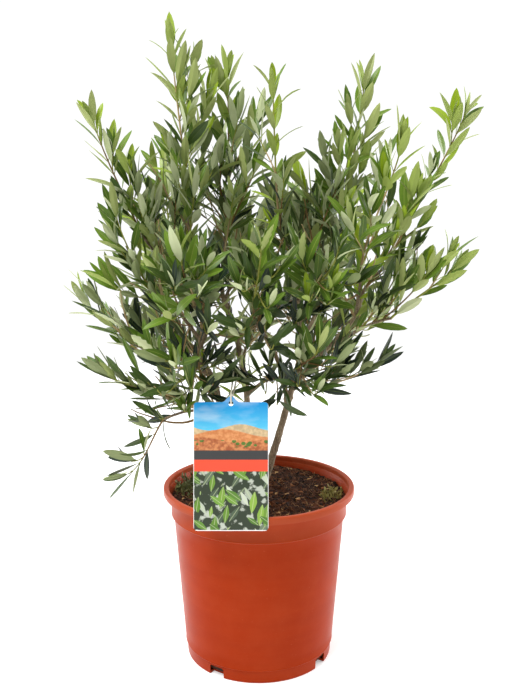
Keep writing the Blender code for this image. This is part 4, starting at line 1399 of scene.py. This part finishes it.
def grow_inner(draw):
    """The old twigs inside the crown, some bare and some with narrow leaves painted dark as shade."""
    twigs, leaves = Strands(), []
    skin = bmesh.new()
    for name in FOLIAGE:
        skin.from_mesh(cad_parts["foliage_" + name].data)
    crown = BVHTree.FromBMesh(skin)
    for path, _ in limbs.values():
        lengths = run_lengths(path)
        run = draw.uniform(8, 20) * MM
        while run < lengths[-1] - 6 * MM:
            origin, stem = along(path, run / lengths[-1])
            low = origin.z < LOW_CROWN
            run += draw.uniform(*INNER_SPACING) * (LOW_SPACING if low else 1)
            if below_crown(origin, START_SLOPE):
                continue
            twig = inner_twig(draw, origin, stem)
            stray = crown.find_nearest(twig[-1])[3] > INNER_STRAY
            in_gap = any(in_opening(place) for place in twig[3:])
            hangs = below_crown(twig[-1], END_SLOPE)
            if stray or in_gap or hangs or crosses_label(twig[0], twig[-1]):
                continue
            thick = draw.choice(INNER_RADII) * MM
            thin = [thick - (thick - INNER_END) * i / len(twig) for i in range(len(twig))]
            twigs.add(twig, thin, 5, [draw.choice((0, 1, 3))] * len(twig))
            if draw.random() < (0.42 if low else 0.45):
                # Their leaves take darker tones than the sprays outside, as painted shade, the more
                # so low in the crown.
                shade = 0.3 if low else 0.12
                light = light_at(twig[-1]) - shade + draw.uniform(-0.14, 0.14)
                bare = draw.uniform(0.2, 0.6)
                dress_shoot(draw, twig, thin, bare, light, leaves, 0.72)
    return twigs, leaves


twigs, leaves = grow_inner(random.Random(99))
fitted("twigs_inner", twigs.mesh("twigs_inner"), twig_finishes)
fitted("leaves_inner", leaves_mesh("leaves_inner", leaves), leaf_finishes)

# Weeds: seedlings that have sown themselves in the soil, a mat of olive-green ones at the
# pot's left edge and a few yellower ones at its right.  Each has a thin stem that sprawls
# and small round-ended leaves in pairs.
WEEDS = (                       # how many, x, y, spread in x and y, rise, which finish
    (52, -79, 14, 16, 28, 0.9, 0),
    (22, 80, -9, 10, 12, 0.3, 1))
WEED_STEP = 2.2 * MM
WEED_STEM = 0.28 * MM
WEED_FINISHES = (
    ("weed_olive", (88, 94, 46), 0.6), ("weed_yellow", (150, 140, 72), 0.6),
    ("weed_stalk", (120, 116, 70), 0.7))


def grow_seedling(draw, foot, rise, kind, stems, leaves):
    """One seedling: a stem that wanders over the soil, with pairs of leaves along it."""
    heading = (draw.uniform(-1, 1), draw.uniform(-1, 1), draw.uniform(0.1, 1.6) * rise)
    heading = Vector(heading).normalized()
    path = [foot - UP * MM, foot]
    for _ in range(round(draw.choice((3, 5, 7, 9)) * (0.4 + 0.6 * rise))):
        heading = (heading + Vector(draw.uniform(-0.5, 0.5) for _ in range(3))).normalized()
        ahead = path[-1] + heading * WEED_STEP
        ahead.z = max(ahead.z, soil_height(ahead.x, ahead.y) + 0.4 * MM)
        if math.hypot(ahead.x, ahead.y) < SOIL_RADIUS - 3 * MM:
            path.append(ahead)
    stems.add(path, [WEED_STEM] * len(path), 4, [2] * len(path))
    for place, ahead in zip(path[1:], path[2:] + [path[-1] + heading * MM]):
        stem = (ahead - place).normalized()
        turn = Matrix.Rotation(draw.uniform(0, 2 * math.pi), 3, stem)
        side = turn @ stem.orthogonal().normalized()
        for away in (side, -side):
            length = draw.uniform(2.6, 5.6) * MM
            leaf = grow_leaf(draw, place, stem, away, 0.9, length, 0.45, 0, 0.6)
            tip = leaf["base"] + leaf["heading"] * leaf["length"]
            leaf["slots"] = (kind, 2, kind, 2)
            inside = math.hypot(tip.x, tip.y) < SOIL_RADIUS - MM
            if inside and tip.z > soil_height(tip.x, tip.y) and draw.random() < 0.7:
                leaves.append(leaf)


draw = random.Random(21)
stems, leaves = Strands(), []
for count, x, y, spread_x, spread_y, rise, kind in WEEDS:
    for _ in range(count):
        foot = Vector((draw.gauss(x, spread_x / 2) * MM, draw.gauss(y, spread_y / 2) * MM, 0))
        if foot.length < SOIL_RADIUS - 4 * MM:
            foot.z = soil_height(foot.x, foot.y)
            grow_seedling(draw, foot, rise, kind, stems, leaves)
weed_finishes = plain_finishes(WEED_FINISHES)
fitted("weed_stems", stems.mesh("weed_stems"), weed_finishes)
fitted("weed_leaves", leaves_mesh("weed_leaves", leaves), weed_finishes)
